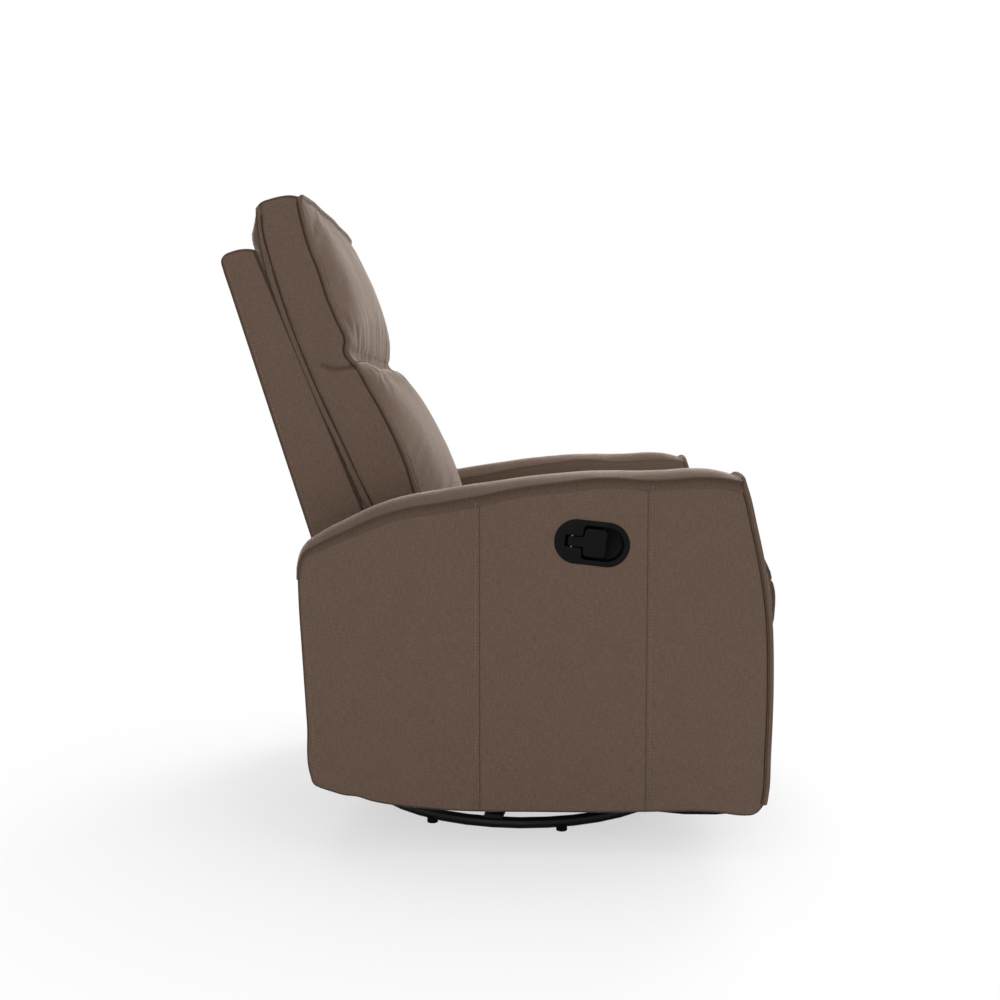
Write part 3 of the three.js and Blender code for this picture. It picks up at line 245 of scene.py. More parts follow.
def sharpened(mesh, angle):
    """Shades a mesh smoothly, apart from the edges where its faces turn by more than an angle."""
    mesh.polygons.foreach_set("use_smooth", np.ones(len(mesh.polygons), bool))
    work = bmesh.new()
    work.from_mesh(mesh)
    for edge in work.edges:
        edge.smooth = len(edge.link_faces) == 2 and edge.calc_face_angle(0.0) < angle
    work.to_mesh(mesh)
    work.free()


def dress(thing, body, finish):
    """Gives a piece its material and the body it rides on."""
    thing.data.materials.clear()
    thing.data.materials.append(finish)
    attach(thing, body)
    return thing


CORD_SIDES, SEAM_SHADOW_SIDES, CORD_TAPER = 12, 6, 0.02


def along_path(path):
    """Unit tangents of a line of points."""
    tangents = np.gradient(path, axis=0)
    return tangents / np.linalg.norm(tangents, axis=1)[:, None]


def cord_mesh(path, side, radius, sides):
    """Points and faces of a round cord along a path, with tapered ends.

    Each ring is p + r (cos q side + sin q up), where up is at right angles to the path and to the
    given side direction.
    """
    tangents = along_path(path)
    side = np.asarray(side, float)
    side = side - (side * tangents).sum(axis=1)[:, None] * tangents
    side = side / np.linalg.norm(side, axis=1)[:, None]
    up = np.cross(tangents, side)
    swell = np.ones(len(path))
    swell[[0, -1]] = CORD_TAPER
    angle = np.arange(sides) * math.tau / sides
    ring = np.cos(angle)[None, :, None] * side[:, None, :] + np.sin(angle)[None, :, None] * up[:, None, :]
    points = path[:, None, :] + radius * swell[:, None, None] * ring
    faces = grid_quads(len(path), sides, wrap=True)
    run = run_of(path)
    uv = np.stack(np.broadcast_arrays(run[:, None], angle[None, :] * radius), -1).reshape(-1, 2)
    ends = np.array([np.arange(sides), (len(path) - 1) * sides + np.arange(sides)])
    return points.reshape(-1, 3), faces, uv, ends


def cord_object(name, paths, side, radius, body, finish, sides=CORD_SIDES):
    """One object of one or more sewn cords, closed at both ends."""
    all_points, all_faces, all_uv, start = [], [], [], 0
    for path, towards in zip(paths, side):
        points, faces, uv, ends = cord_mesh(path, towards, radius, sides)
        centres = points[ends].mean(axis=1)
        points = np.concatenate([points, centres])
        uv = np.concatenate([uv, np.zeros((2, 2))])
        hub = len(points) - 2
        middles = [np.full(sides, hub + k) for k in (0, 1)]
        fans = [np.stack([end, np.roll(end, -1), middle, middle], -1) for end, middle in zip(ends, middles)]
        all_faces.append(np.concatenate([faces] + fans) + start)
        all_points.append(points)
        all_uv.append(uv)
        start += len(points)
    faces = np.concatenate(all_faces)
    fan = faces[:, 2] == faces[:, 3]
    quads, triangles = faces[~fan], faces[fan][:, :3]
    corners = np.concatenate([quads.reshape(-1), triangles.reshape(-1)])
    corner_uv = np.concatenate(all_uv)[corners]
    thing = meshed(name, np.concatenate(all_points), quads.tolist() + triangles.tolist(), corner_uv)
    close_up(thing)
    return dress(thing, body, finish)


STITCH_PITCH, STITCH_LENGTH, STITCH_RADIUS = 5.3, 3.4, 0.62
STITCH_PROFILE = np.array([[-0.5, 0.15], [-0.32, 0.85], [0.32, 0.85], [0.5, 0.15]])


def stitch_object(name, lines, body):
    """A row of sewn stitches for each line of (points, outward directions), as one object.

    A stitch is a six-sided spindle laid along the line, with both ends sunk into the cloth.
    """
    pitch, sides = STITCH_PITCH, 6
    angle = np.arange(sides) * math.tau / sides
    all_points, all_faces, count = [], [], 0
    for line, outward in lines:
        outward = np.broadcast_to(np.asarray(outward, float), line.shape)
        run = run_of(line)
        at = np.arange(pitch / 2, run[-1] - pitch / 2, pitch)
        centre = np.stack([np.interp(at, run, line[:, k]) for k in range(3)], -1)
        ahead = np.stack([np.interp(at + 0.5, run, line[:, k]) for k in range(3)], -1) - centre
        ahead /= np.linalg.norm(ahead, axis=1)[:, None]
        out = np.stack([np.interp(at, run, outward[:, k]) for k in range(3)], -1)
        out -= (out * ahead).sum(axis=1)[:, None] * ahead
        out /= np.linalg.norm(out, axis=1)[:, None]
        across = np.cross(ahead, out)
        sink = STITCH_RADIUS * 0.45 - np.array([1.6, 0.1, 0.1, 1.6]) * STITCH_RADIUS
        ring = np.cos(angle)[:, None, None] * out + np.sin(angle)[:, None, None] * across
        points = (
            centre[None, None]
            + (STITCH_PROFILE[:, 0] * STITCH_LENGTH)[:, None, None, None] * ahead
            + sink[:, None, None, None] * out
            + (STITCH_PROFILE[:, 1] * STITCH_RADIUS)[:, None, None, None] * ring[None]
        )
        points = points.transpose(2, 0, 1, 3).reshape(-1, 3)
        tube = grid_quads(4, sides, wrap=True)
        each = 4 * sides
        starts = np.arange(len(at)) * each + count
        all_faces.append((tube[None] + starts[:, None, None]).reshape(-1, 4))
        for end in (np.arange(sides), 3 * sides + np.arange(sides)):
            caps = end[[[0, 1, 2, 3], [3, 4, 5, 0]]]
            all_faces.append((caps[None] + starts[:, None, None]).reshape(-1, 4))
        all_points.append(points)
        count += len(points)
    points = np.concatenate(all_points)
    return new_object(name, points, [(np.concatenate(all_faces), points[:, [0, 2]])], None, body, THREAD)


# %% [markdown]
# ## A sewn slab
# Arms, back, seat, footrest pad and rear rail are all made the same way on the real chair: two side
# panels joined by a strip that runs round their outline. The same holds here. A side panel is a grid
# stretched between four edge lines, and the strip crosses from one panel to the other with its own
# swell. Where panel and strip meet, both turn in on a small radius, which leaves the seam's groove.


# %% The slab surface
CREASE_WIDTH = 1.6


def panel_grid(low, high, rear, front, reach=0.3):
    """A grid in a plane between four edge lines, whose middle columns stay straight.

    P(u, v) = (1 - v) low(u) + v high(u) + f(u) (rear(v) - its chord) + g(u) (front(v) - its chord),
    where f and g fade from 1 at their own edge to 0 within the given reach.
    """
    run, rise = run_of(low), run_of(rear)
    u = (run / run[-1])[None, :, None]
    v = (rise / rise[-1])[:, None, None]
    f = np.clip(1 - u / reach, 0, 1) ** 2
    g = np.clip(1 - (1 - u) / reach, 0, 1) ** 2
    straight = (1 - v) * low[None] + v * high[None]
    rear_bow = rear[:, None] - ((1 - v) * low[0] + v * high[0])
    front_bow = front[:, None] - ((1 - v) * low[-1] + v * high[-1])
    return straight + f * rear_bow + g * front_bow


def loop_order(rows, columns):
    """Indices of a grid's border, once round: along the first row, up, back along the last, down."""
    index = np.arange(rows * columns).reshape(rows, columns)
    return np.concatenate([index[0, :-1], index[:-1, -1], index[-1, :0:-1], index[:0:-1, 0]])


def outward_of(loop):
    """Unit normals of a closed counter-clockwise loop in a plane, pointing out."""
    ahead = np.roll(loop, -1, axis=0) - loop
    behind = loop - np.roll(loop, 1, axis=0)
    ahead /= np.linalg.norm(ahead, axis=1)[:, None] + NO_LENGTH
    behind /= np.linalg.norm(behind, axis=1)[:, None] + NO_LENGTH
    tangent = ahead + behind
    normal = np.stack([tangent[:, 1], -tangent[:, 0]], -1)
    return normal / (np.linalg.norm(normal, axis=1)[:, None] + NO_LENGTH)


def slab(edges, near, far, across, rim, strip_rim, swell, panel_out):
    """Points and faces of a sewn slab, in (a, b, c): the plane of its panels and its thickness.

    The strip stands out from the outline by rim sqrt(1 - (1 - e / rim)^2) + swell(loop, normal,
    c, s), where e is the way from the nearer panel and s runs from -1 to 1 across. A panel lies at
    its own c, dropped by the rounded edge and raised by panel_out(a, b, d, side), d from the outline.
    """
    plane = panel_grid(*edges)
    rows, columns = plane.shape[:2]
    flat = plane.reshape(-1, 2)
    order = loop_order(rows, columns)
    loop = flat[order]
    d = from_polyline(flat, np.vstack([loop, loop[:1]]))
    drop = rounded(d, rim)
    panels = []
    for level, sign in ((near, -1), (far, 1)):
        out, crease = panel_out(flat[:, 0], flat[:, 1], d, sign)
        c = level + sign * (out - drop)
        # The crease values, 1 at the outline and fading inwards, mark painted shade along the seam.
        panels.append((np.column_stack([flat, c]), np.maximum(crease, near_line(d, CREASE_WIDTH))))
    normal = outward_of(loop)
    inner, outer = near + rim, far - rim
    c = inner + across * (outer - inner)
    e = np.minimum(c - inner, outer - c)
    shoulder = strip_rim - rounded(e, strip_rim)
    offset = shoulder[:, None] + swell(loop, normal, c[:, None], (2 * across - 1)[:, None])
    strip = np.empty((len(across), len(order), 3))
    strip[..., :2] = loop[None] + offset[..., None] * normal[None]
    strip[..., 2] = c[:, None]
    points = np.concatenate([panels[0][0], panels[1][0], strip[1:-1].reshape(-1, 3)])
    size = len(flat)
    rings = np.empty((len(across), len(order)), int)
    rings[0] = order
    rings[-1] = order + size
    rings[1:-1] = 2 * size + np.arange((len(across) - 2) * len(order)).reshape(-1, len(order))
    run = run_of(loop)
    local = grid_quads(len(across), len(order), wrap=True)
    strip_faces = rings.reshape(-1)[local]
    strip_uv = np.zeros((len(points), 2))
    strip_uv[rings] = np.stack(np.broadcast_arrays(run[None, :], c[:, None]), -1)
    panel_uv = np.zeros((len(points), 2))
    panel_uv[:size] = flat
    panel_uv[size : 2 * size] = flat
    quads = grid_quads(rows, columns)
    # Painted shade at the seams: crease values near each panel's edge and near both edges of the strip.
    crease = np.zeros(len(points))
    crease[:size], crease[size : 2 * size] = panels[0][1], panels[1][1]
    strip_crease = np.broadcast_to(near_line(e, CREASE_WIDTH)[:, None], rings.shape)
    crease[rings] = np.maximum(crease[rings], strip_crease)
    sheets = [(np.concatenate([quads[:, ::-1], quads + size]), panel_uv), (strip_faces, strip_uv)]
    return points, sheets, crease, dict(loop=loop, normal=normal, rings=rings, shape=(rows, columns))


def in_frame(points, axes):
    """Puts (a, b, c) on the given axes of (x, y, z)."""
    placed = np.empty_like(points)
    placed[:, list(axes)] = points
    return placed


# %% [markdown]
# ## Finishes
# The cover is a plain woven polyester in taupe brown, with slightly uneven yarns that give it a fine
# mottle. Steel parts are black powder coat, zinc plate or oiled spring wire. Each finish is a shader
# group that turns a few named values into colour, roughness and a height for the bump, so that two
# materials of one kind differ only in their values.


# %% Shader groups
def shader_group(name, inputs, outputs):
    """An empty shader group with named inputs (label, kind, value) and outputs (label, kind)."""
    group = bpy.data.node_groups.new(name, "ShaderNodeTree")
    for label, kind, value in inputs:
        group.interface.new_socket(label, in_out="INPUT", socket_type=kind).default_value = value
    for label, kind in outputs:
        group.interface.new_socket(label, in_out="OUTPUT", socket_type=kind)
    return group, group.nodes.new("NodeGroupInput"), group.nodes.new("NodeGroupOutput")


COLOUR, VALUE = "NodeSocketColor", "NodeSocketFloat"


def maths(tree, operation, first, second=0.0):
    """A maths node of two values, each a number or a socket, and its result."""
    node = tree.nodes.new("ShaderNodeMath")
    node.operation = operation
    for socket, value in zip(node.inputs, (first, second)):
        if isinstance(value, (int, float)):
            socket.default_value = value
        else:
            tree.links.new(value, socket)
    return node.outputs[0]


def noise(tree, vector, scale, detail=2.0, rough=0.5):
    """A noise texture's value at a scale, read at the given coordinates."""
    node = tree.nodes.new("ShaderNodeTexNoise")
    node.inputs["Scale"].default_value = scale
    node.inputs["Detail"].default_value = detail
    node.inputs["Roughness"].default_value = rough
    tree.links.new(vector, node.inputs["Vector"])
    return node.outputs["Fac"]


def stretched(tree, vector, factors):
    """Coordinates multiplied by a factor on each axis."""
    node = tree.nodes.new("ShaderNodeVectorMath")
    node.operation = "MULTIPLY"
    node.inputs[1].default_value = factors
    tree.links.new(vector, node.inputs[0])
    return node.outputs[0]


def mixed(tree, factor, first, second, kind="MIX"):
    """Two colours mixed by a factor, each a colour or a socket."""
    node = tree.nodes.new("ShaderNodeMix")
    node.data_type = "RGBA"
    node.blend_type = kind
    for socket, value in ((node.inputs[0], factor), (node.inputs[6], first), (node.inputs[7], second)):
        if isinstance(value, (int, float, tuple)):
            socket.default_value = value
        else:
            tree.links.new(value, socket)
    return node.outputs[2]


def spread(tree, value, low, high, to_low=0.0, to_high=1.0):
    """A value taken from one span to another, held at the ends."""
    node = tree.nodes.new("ShaderNodeMapRange")
    for label, number in (("From Min", low), ("From Max", high), ("To Min", to_low), ("To Max", to_high)):
        node.inputs[label].default_value = number
    tree.links.new(value, node.inputs["Value"])
    return node.outputs["Result"]


def cloth_group():
    """Plain weave: two sets of yarns, each thicker and thinner along its run, with a soft mottle. Its colour is darker
    where the yarns cross under, as painted shade between them, and darker in seams by the crease value, as painted
    shade.
    """
    group, given, result = shader_group(
        "plain_weave",
        [("Colour", COLOUR, (0.2, 0.15, 0.12, 1)), ("Fleck", COLOUR, (0.3, 0.22, 0.18, 1)),
         ("Mottle", VALUE, 0.5), ("Pitch", VALUE, 0.0012)],
        [("Base Color", COLOUR), ("Roughness", VALUE), ("Bump Height", VALUE)],
    )
    uv = group.nodes.new("ShaderNodeUVMap")
    uv.uv_map = "UVMap"
    uv = uv.outputs[0]
    split = group.nodes.new("ShaderNodeSeparateXYZ")
    group.links.new(uv, split.inputs[0])
    waves = []
    for axis in (0, 1):
        turns = maths(group, "DIVIDE", split.outputs[axis], given.outputs["Pitch"])
        waves.append(maths(group, "SINE", maths(group, "MULTIPLY", turns, math.tau)))
    crossing = maths(group, "MULTIPLY", *waves)
    warp = noise(group, stretched(group, uv, (620, 70, 1)), 1.0, 2.0, 0.6)
    weft = noise(group, stretched(group, uv, (110, 620, 1)), 1.0, 2.0, 0.6)
    yarns = maths(group, "ADD", maths(group, "SUBTRACT", warp, 0.5), maths(group, "SUBTRACT", weft, 0.5))
    heather = maths(group, "SUBTRACT", noise(group, uv, 330.0, 2.0, 0.6), 0.5)
    clouds = maths(group, "SUBTRACT", noise(group, uv, 26.0, 3.0, 0.55), 0.5)
    tone = maths(group, "ADD", maths(group, "MULTIPLY", yarns, 1.3), maths(group, "MULTIPLY", heather, 1.1))
    tone = maths(group, "ADD", tone, maths(group, "MULTIPLY", clouds, 0.3))
    tone = maths(group, "ADD", maths(group, "MULTIPLY", tone, given.outputs["Mottle"]), 0.4)
    colour = mixed(group, tone, given.outputs["Colour"], given.outputs["Fleck"])
    # Painted shade: darker between the yarns where they cross under, and down to half in seams by the crease value.
    gap = spread(group, crossing, -1.0, 0.2, 0.84, 1.0)
    crease = group.nodes.new("ShaderNodeAttribute")
    crease.attribute_name = "crease"
    lit = maths(group, "SUBTRACT", 1.0, maths(group, "MULTIPLY", crease.outputs["Fac"], 0.5))
    shade = maths(group, "MULTIPLY", gap, lit)
    shade_colour = group.nodes.new("ShaderNodeCombineColor")
    for socket in shade_colour.inputs[:3]:
        group.links.new(shade, socket)
    colour = mixed(group, 1.0, colour, shade_colour.outputs[0], "MULTIPLY")
    group.links.new(colour, result.inputs["Base Color"])
    group.links.new(spread(group, yarns, -0.4, 0.4, 0.95, 0.8), result.inputs["Roughness"])
    height = maths(group, "ADD", maths(group, "MULTIPLY", crossing, 0.35), maths(group, "MULTIPLY", yarns, 1.2))
    group.links.new(maths(group, "ADD", height, maths(group, "MULTIPLY", clouds, 0.8)), result.inputs["Bump Height"])
    return group


def grain_group(name, grain, streak):
    """A moulded or coated surface: fine grain, slow unevenness, and dust in specks and a thin film."""
    group, given, result = shader_group(
        name,
        [("Colour", COLOUR, (0.02, 0.02, 0.02, 1)), ("Dust", COLOUR, (0.2, 0.19, 0.18, 1)),
         ("Dustiness", VALUE, 0.1), ("Roughness", VALUE, 0.4), ("Unevenness", VALUE, 0.1)],
        [("Base Color", COLOUR), ("Roughness", VALUE), ("Bump Height", VALUE)],
    )
    place = group.nodes.new("ShaderNodeTexCoord").outputs["Object"]
    fine = noise(group, stretched(group, place, streak), grain, 2.0, 0.6)
    slow = noise(group, place, 14.0, 3.0, 0.55)
    specks = spread(group, noise(group, place, 160.0, 3.0, 0.7), 0.5, 0.78)
    dusty = maths(group, "MULTIPLY", specks, given.outputs["Dustiness"])
    film = maths(group, "MULTIPLY", maths(group, "MULTIPLY", slow, 0.35), given.outputs["Dustiness"])
    dusty = maths(group, "ADD", dusty, film)
    group.links.new(mixed(group, dusty, given.outputs["Colour"], given.outputs["Dust"]), result.inputs["Base Color"])
    uneven = maths(group, "MULTIPLY", maths(group, "SUBTRACT", slow, 0.5), given.outputs["Unevenness"])
    rough = maths(group, "ADD", given.outputs["Roughness"], uneven)
    group.links.new(maths(group, "ADD", rough, maths(group, "MULTIPLY", dusty, 0.4)), result.inputs["Roughness"])
    group.links.new(fine, result.inputs["Bump Height"])
    return group


def wood_group():
    """Sawn timber: growth rings cut lengthwise, darker late wood and short pores."""
    group, given, result = shader_group(
        "sawn_timber",
        [("Early wood", COLOUR, (0.5, 0.34, 0.19, 1)), ("Late wood", COLOUR, (0.33, 0.2, 0.1, 1))],
        [("Base Color", COLOUR), ("Roughness", VALUE), ("Bump Height", VALUE)],
    )
    place = group.nodes.new("ShaderNodeTexCoord").outputs["Object"]
    rings = group.nodes.new("ShaderNodeTexWave")
    rings.inputs["Scale"].default_value = 42.0
    rings.inputs["Distortion"].default_value = 7.0
    rings.inputs["Detail"].default_value = 2.0
    group.links.new(stretched(group, place, (1.0, 0.12, 0.6)), rings.inputs["Vector"])
    pores = noise(group, stretched(group, place, (500, 14, 500)), 1.0, 2.0, 0.6)
    broad, short = maths(group, "MULTIPLY", rings.outputs["Fac"], 0.7), maths(group, "MULTIPLY", pores, 0.4)
    tone = maths(group, "ADD", broad, short)
    colour = mixed(group, tone, given.outputs["Early wood"], given.outputs["Late wood"])
    group.links.new(colour, result.inputs["Base Color"])
    group.links.new(spread(group, pores, 0.2, 0.8, 0.6, 0.85), result.inputs["Roughness"])
    group.links.new(pores, result.inputs["Bump Height"])
    return group


GROUPS = dict(
    cloth=cloth_group(),
    coat=grain_group("powder_coat", 900.0, (1, 1, 1)),
    plate=grain_group("plated_steel", 500.0, (1, 6, 1)),
    moulding=grain_group("moulded_grain", 1500.0, (1, 1, 1)),
    wood=wood_group(),
)
print("shader groups:", ", ".join(group.name for group in GROUPS.values()))


# %% Materials
def material(name, group, values, fixed, bump, height):
    """A material from a shader group: its values, the shader's own fixed sockets, and its bump."""
    made = bpy.data.materials.new(name)
    made.use_nodes = True
    tree = made.node_tree
    shader = tree.nodes["Principled BSDF"]
    finish = tree.nodes.new("ShaderNodeGroup")
    finish.node_tree = GROUPS[group]
    for label, value in values.items():
        finish.inputs[label].default_value = value
    tree.links.new(finish.outputs["Base Color"], shader.inputs["Base Color"])
    tree.links.new(finish.outputs["Roughness"], shader.inputs["Roughness"])
    relief = tree.nodes.new("ShaderNodeBump")
    relief.inputs["Strength"].default_value = bump
    relief.inputs["Distance"].default_value = height
    tree.links.new(finish.outputs["Bump Height"], relief.inputs["Height"])
    tree.links.new(relief.outputs["Normal"], shader.inputs["Normal"])
    for label, value in fixed.items():
        shader.inputs[label].default_value = value
    return made


def hard_finish(name, group, colour, dust, shares, fixed, bump, height):
    """A coated, plated or moulded finish. Its shares are dustiness, roughness and unevenness."""
    values = dict(zip(("Dustiness", "Roughness", "Unevenness"), shares), Colour=(*colour, 1), Dust=(*dust, 1))
    return material(name, group, values, fixed, bump, height)


TAUPE = {"Colour": (0.112, 0.072, 0.052, 1), "Fleck": (0.176, 0.121, 0.091, 1)}
THREAD_TAUPE = {"Colour": (0.165, 0.120, 0.094, 1), "Fleck": (0.26, 0.20, 0.16, 1)}
SHADOW_TAUPE = {"Colour": (0.032, 0.021, 0.016, 1), "Fleck": (0.055, 0.038, 0.029, 1)}
CLOTH_SHEEN = {
    "Sheen Weight": 1.0, "Sheen Roughness": 0.18, "Sheen Tint": (1.0, 0.9, 0.82, 1), "Specular IOR Level": 0.08,
}
THREAD_SHEEN = {"Sheen Weight": 0.1, "Specular IOR Level": 0.3}
# seam_shadow is a dark cloth for thin cords laid in seams: painted shadow lines.
FABRIC, PIPING, THREAD, SEAM_SHADOW = (
    material(name, "cloth", {**colours, "Mottle": mottle, "Pitch": pitch}, fixed, bump, height)
    for name, colours, mottle, pitch, fixed, bump, height in (
        ("taupe_weave", TAUPE, 0.68, 0.0013, CLOTH_SHEEN, 0.5, 0.0004),
        ("taupe_piping", TAUPE, 0.6, 0.0010, CLOTH_SHEEN, 0.5, 0.0004),
        ("taupe_thread", THREAD_TAUPE, 0.7, 0.0006, THREAD_SHEEN, 0.3, 0.0002),
        ("seam_shadow", SHADOW_TAUPE, 0.7, 0.0008, {"Specular IOR Level": 0.02}, 0.3, 0.0003),
    )
)
MATERIALS = {
    "fabric": FABRIC,
    "black_steel": hard_finish(
        "black_powder_coat", "coat", (0.006, 0.006, 0.0065), (0.08, 0.075, 0.07), (0.06, 0.42, 0.14),
        {"Specular IOR Level": 0.18}, 0.35, 0.00015,
    ),
    "zinc_steel": hard_finish(
        "zinc_plate", "plate", (0.50, 0.51, 0.53), (0.30, 0.28, 0.25), (0.25, 0.30, 0.2), {"Metallic": 1.0}, 0.2, 0.0001
    ),
    "spring_steel": hard_finish(
        "oiled_spring_wire", "plate", (0.17, 0.17, 0.18), (0.10, 0.08, 0.06), (0.3, 0.32, 0.15),
        {"Metallic": 0.9}, 0.2, 0.0001,
    ),
    "wood": material(
        "sawn_hardwood", "wood", {"Early wood": (0.50, 0.34, 0.19, 1), "Late wood": (0.34, 0.21, 0.11, 1)},
        {"Specular IOR Level": 0.3}, 0.5, 0.0004,
    ),
    "black_plastic": hard_finish(
        "black_moulding", "moulding", (0.0032, 0.0032, 0.0038), (0.04, 0.04, 0.04), (0.03, 0.5, 0.12),
        {"Specular IOR Level": 0.07}, 0.4, 0.00012,
    ),
}
print("materials:", ", ".join(sorted(m.name for m in MATERIALS.values())))


# %% [markdown]
# ## Stuffing
# A real cushion gets its shape from fibre or foam that presses its cover outwards while the seams
# hold. The same is done here. A coarse copy of the piece becomes a cloth with air pressure inside,
# held still at its seams and where it rests. After twenty steps its moves, which have an upper
# limit, are carried over to the fine mesh, so the seams, welts and thread directions stay sharp.


# %% Stuffing a padded piece
def coordinates(mesh):
    """All vertex places of a mesh as one array."""
    flat = np.empty(len(mesh.vertices) * 3, np.float32)
    mesh.vertices.foreach_get("co", flat)
    return flat.reshape(-1, 3).astype(float)


CLOTH_STIFFNESS, CLOTH_QUALITY, CLOTH_STEPS = 15.0, 5, 20


def stuffed(thing, held, pressure, voxel, cap, slack=0.0):
    """Swells a piece as cloth under pressure.

    held(places) marks the places, in millimetres, that stay still. A simulated move of length m is
    shortened to cap tanh(m / cap), so it never passes the cap. The moves printed are those before
    they are shortened.
    """
    scene = bpy.context.scene
    coarse = linked(thing.name + "_coarse", thing.data.copy())
    remesh = coarse.modifiers.new("even", "REMESH")
    remesh.mode = "VOXEL"
    remesh.voxel_size = voxel
    applied(coarse)
    before = coordinates(coarse.data)
    still = np.nonzero(held((before - ORIGIN) / MM))[0]
    coarse.vertex_groups.new(name="sewn").add(still.tolist(), 1.0, "REPLACE")
    cloth = coarse.modifiers.new("stuffing", "CLOTH")
    cloth.settings.use_pressure = True
    cloth.settings.uniform_pressure_force = pressure
    cloth.settings.effector_weights.gravity = 0.0
    cloth.settings.vertex_group_mass = "sewn"
    cloth.settings.shrink_min = -slack
    cloth.settings.tension_stiffness = CLOTH_STIFFNESS
    cloth.settings.compression_stiffness = CLOTH_STIFFNESS
    cloth.settings.quality = CLOTH_QUALITY
    for step in range(1, CLOTH_STEPS + 1):
        scene.frame_set(step)
    view = bpy.context.evaluated_depsgraph_get()
    move = (coordinates(coarse.evaluated_get(view).data) - before) / MM
    coarse.modifiers.clear()
    scene.frame_set(1)
    length = np.linalg.norm(move, axis=1) + 1e-9
    move *= (cap * np.tanh(length / cap) / length)[:, None]
    follow = thing.modifiers.new("follow", "SURFACE_DEFORM")
    follow.target = coarse
    with bpy.context.temp_override(object=thing, active_object=thing):
        bpy.ops.object.surfacedeform_bind(modifier="follow")
    coarse.data.vertices.foreach_set("co", (before + move * MM).astype(np.float32).reshape(-1))
    coarse.data.update()
    bpy.context.view_layer.update()
    bound = follow.is_bound
    applied(thing)
    bpy.data.objects.remove(coarse)
    print(thing.name, "stuffed:", len(before), "places,", len(still), "held, bound", bound)
    print("  simulated moves, mm: largest", round(float(length.max()), 1), "middle", round(float(np.median(length)), 1))


# %% [markdown]
# ## Arms
# Each arm is a wooden frame boxed in fibreboard, padded thinly and covered. The outer side is sewn
# from three panels with two upright seams, the front is a piped panel, and the top seam joins the
# sides to a crowned pad. The outline follows the photograph, where the side faces the camera.


# %% Arm outline
ARM_LOW, ARM_HIGH = node_box("arm_body_left")
ARM_INNER, ARM_OUTER = ARM_LOW[1], ARM_HIGH[1]
ARM_SEAMS = [-60.0, 191.0]
ARM_TOP = [
    (-333, 423), (-332, 442), (-325, 461), (-299, 478), (-259, 497), (-223, 514), (-171, 530), (-117, 539),
    (-64, 548.5), (1, 561.5), (65, 570), (112, 575.5), (140, 576), (192, 572.8), (225, 574), (262, 577),
    (296, 576), (330, 571),
]
ARM_FRONT = [
    (361, 71), (368, 80), (372, 100), (374, 154), (376, 273), (372, 369), (359, 455), (346, 512), (338, 546),
    (330, 571),
]
ARM_REAR = [(-304, 103), (-313, 108), (-318, 122), (-322, 200), (-328, 310), (-332, 385), (-333, 423)]
ARM_BOTTOM = [
    (-304, 103), (-290, 98.5), (-267, 92), (-248, 90), (-225, 83), (-190, 77), (-150, 73), (-110, 70),
    (32, 68.4), (140, 68.8), (215, 70.6), (285, 71), (305, 69.6), (325, 66.4), (345, 65.4), (354, 66.6), (361, 71),
]
SIDE_PADDING = 2.4


def dense(points, count=600):
    """A line of many points along a smooth line through the given places."""
    return smooth_curve(points, np.linspace(0, 1, count))


def arm_edges(step=5.5):
    """The four edge lines of an arm's side, whose columns stand upright in the middle."""
    top, bottom = dense(ARM_TOP, 1500), dense(ARM_BOTTOM, 1500)
    run = run_of(top)
    at = stations(run[-1], step, np.interp(ARM_SEAMS, top[:, 0], run))
    high = np.column_stack([np.interp(at, run, top[:, 0]), np.interp(at, run, top[:, 1])])
    rear_lean = 29 * (1 - np.clip((high[:, 0] + 333) / 140, 0, 1))
    front_lean = 31 * np.clip((high[:, 0] - 230) / 100, 0, 1)
    x = high[:, 0] + rear_lean + front_lean
    low = np.column_stack([x, np.interp(x, bottom[:, 0], bottom[:, 1])])
    share = stations(500, step) / 500
    return low, high, smooth_curve(ARM_REAR, share), smooth_curve(ARM_FRONT, share)


def arm_panel(a, b, d, side):
    """Swell of an arm's side: a thin pad, two upright seams on the outside and slow waves."""
    pad = SIDE_PADDING * (1 - np.exp(-d / 38)) + 0.5 * ripple(a, b, 3 if side > 0 else 4, 210) * (1 - np.exp(-d / 30))
    crease = np.zeros(len(a))
    if side > 0:
        for seam in ARM_SEAMS:
            pad -= 0.9 * near_line(a - seam, 0.8) + 0.4 * near_line(a - seam, 6)
            # Painted shade in the two upright seams, by the crease value.
            crease = np.maximum(crease, 0.75 * near_line(a - seam, 0.7))
        pad += 0.35 * near_line(d, 26) * np.sin(b / 9.0 + 2 * np.sin(b / 41.0)) * (a < -200)
    return pad, crease


def arm_swell(loop, normal, c, s):
    """How far the strip of an arm swells: the front panel most, the top sunk under its pad."""
    front = np.clip((normal[:, 0] - 0.55) / 0.3, 0, 1)
    top = np.clip((normal[:, 1] - 0.3) / 0.25, 0, 1) * (loop[:, 1] > 400)
    bulge = 4.5 * np.exp(-(((loop[:, 1] - 230) / 190) ** 4)) + 0.8
    outward = front * bulge * (1 - top) + 0.6 * (normal[:, 0] < -0.7)
    return outward * (1 - np.abs(s) ** 2.6) - 11.0 * top * (1 - np.abs(s) ** 12)


RIM = 1.8
across_arm = np.r_[0, 0.004, 0.012, 0.024, 0.045, np.linspace(0.08, 0.92, 17), 0.955, 0.976, 0.988, 0.996, 1]
arm_points, arm_sheets, arm_crease, arm_layout = slab(
    arm_edges(), ARM_INNER, ARM_OUTER, across_arm, RIM, RIM, arm_swell, arm_panel
)
print("arm grid:", arm_layout["shape"], "points:", len(arm_points))


def mirror_to(points, side):
    """Slab places (x, z, y) as (x, y, z), on the sitter's left or, turned over, on the right."""
    placed = np.asarray(points, float)[..., [0, 2, 1]].copy()
    placed[..., 1] *= side
    return placed


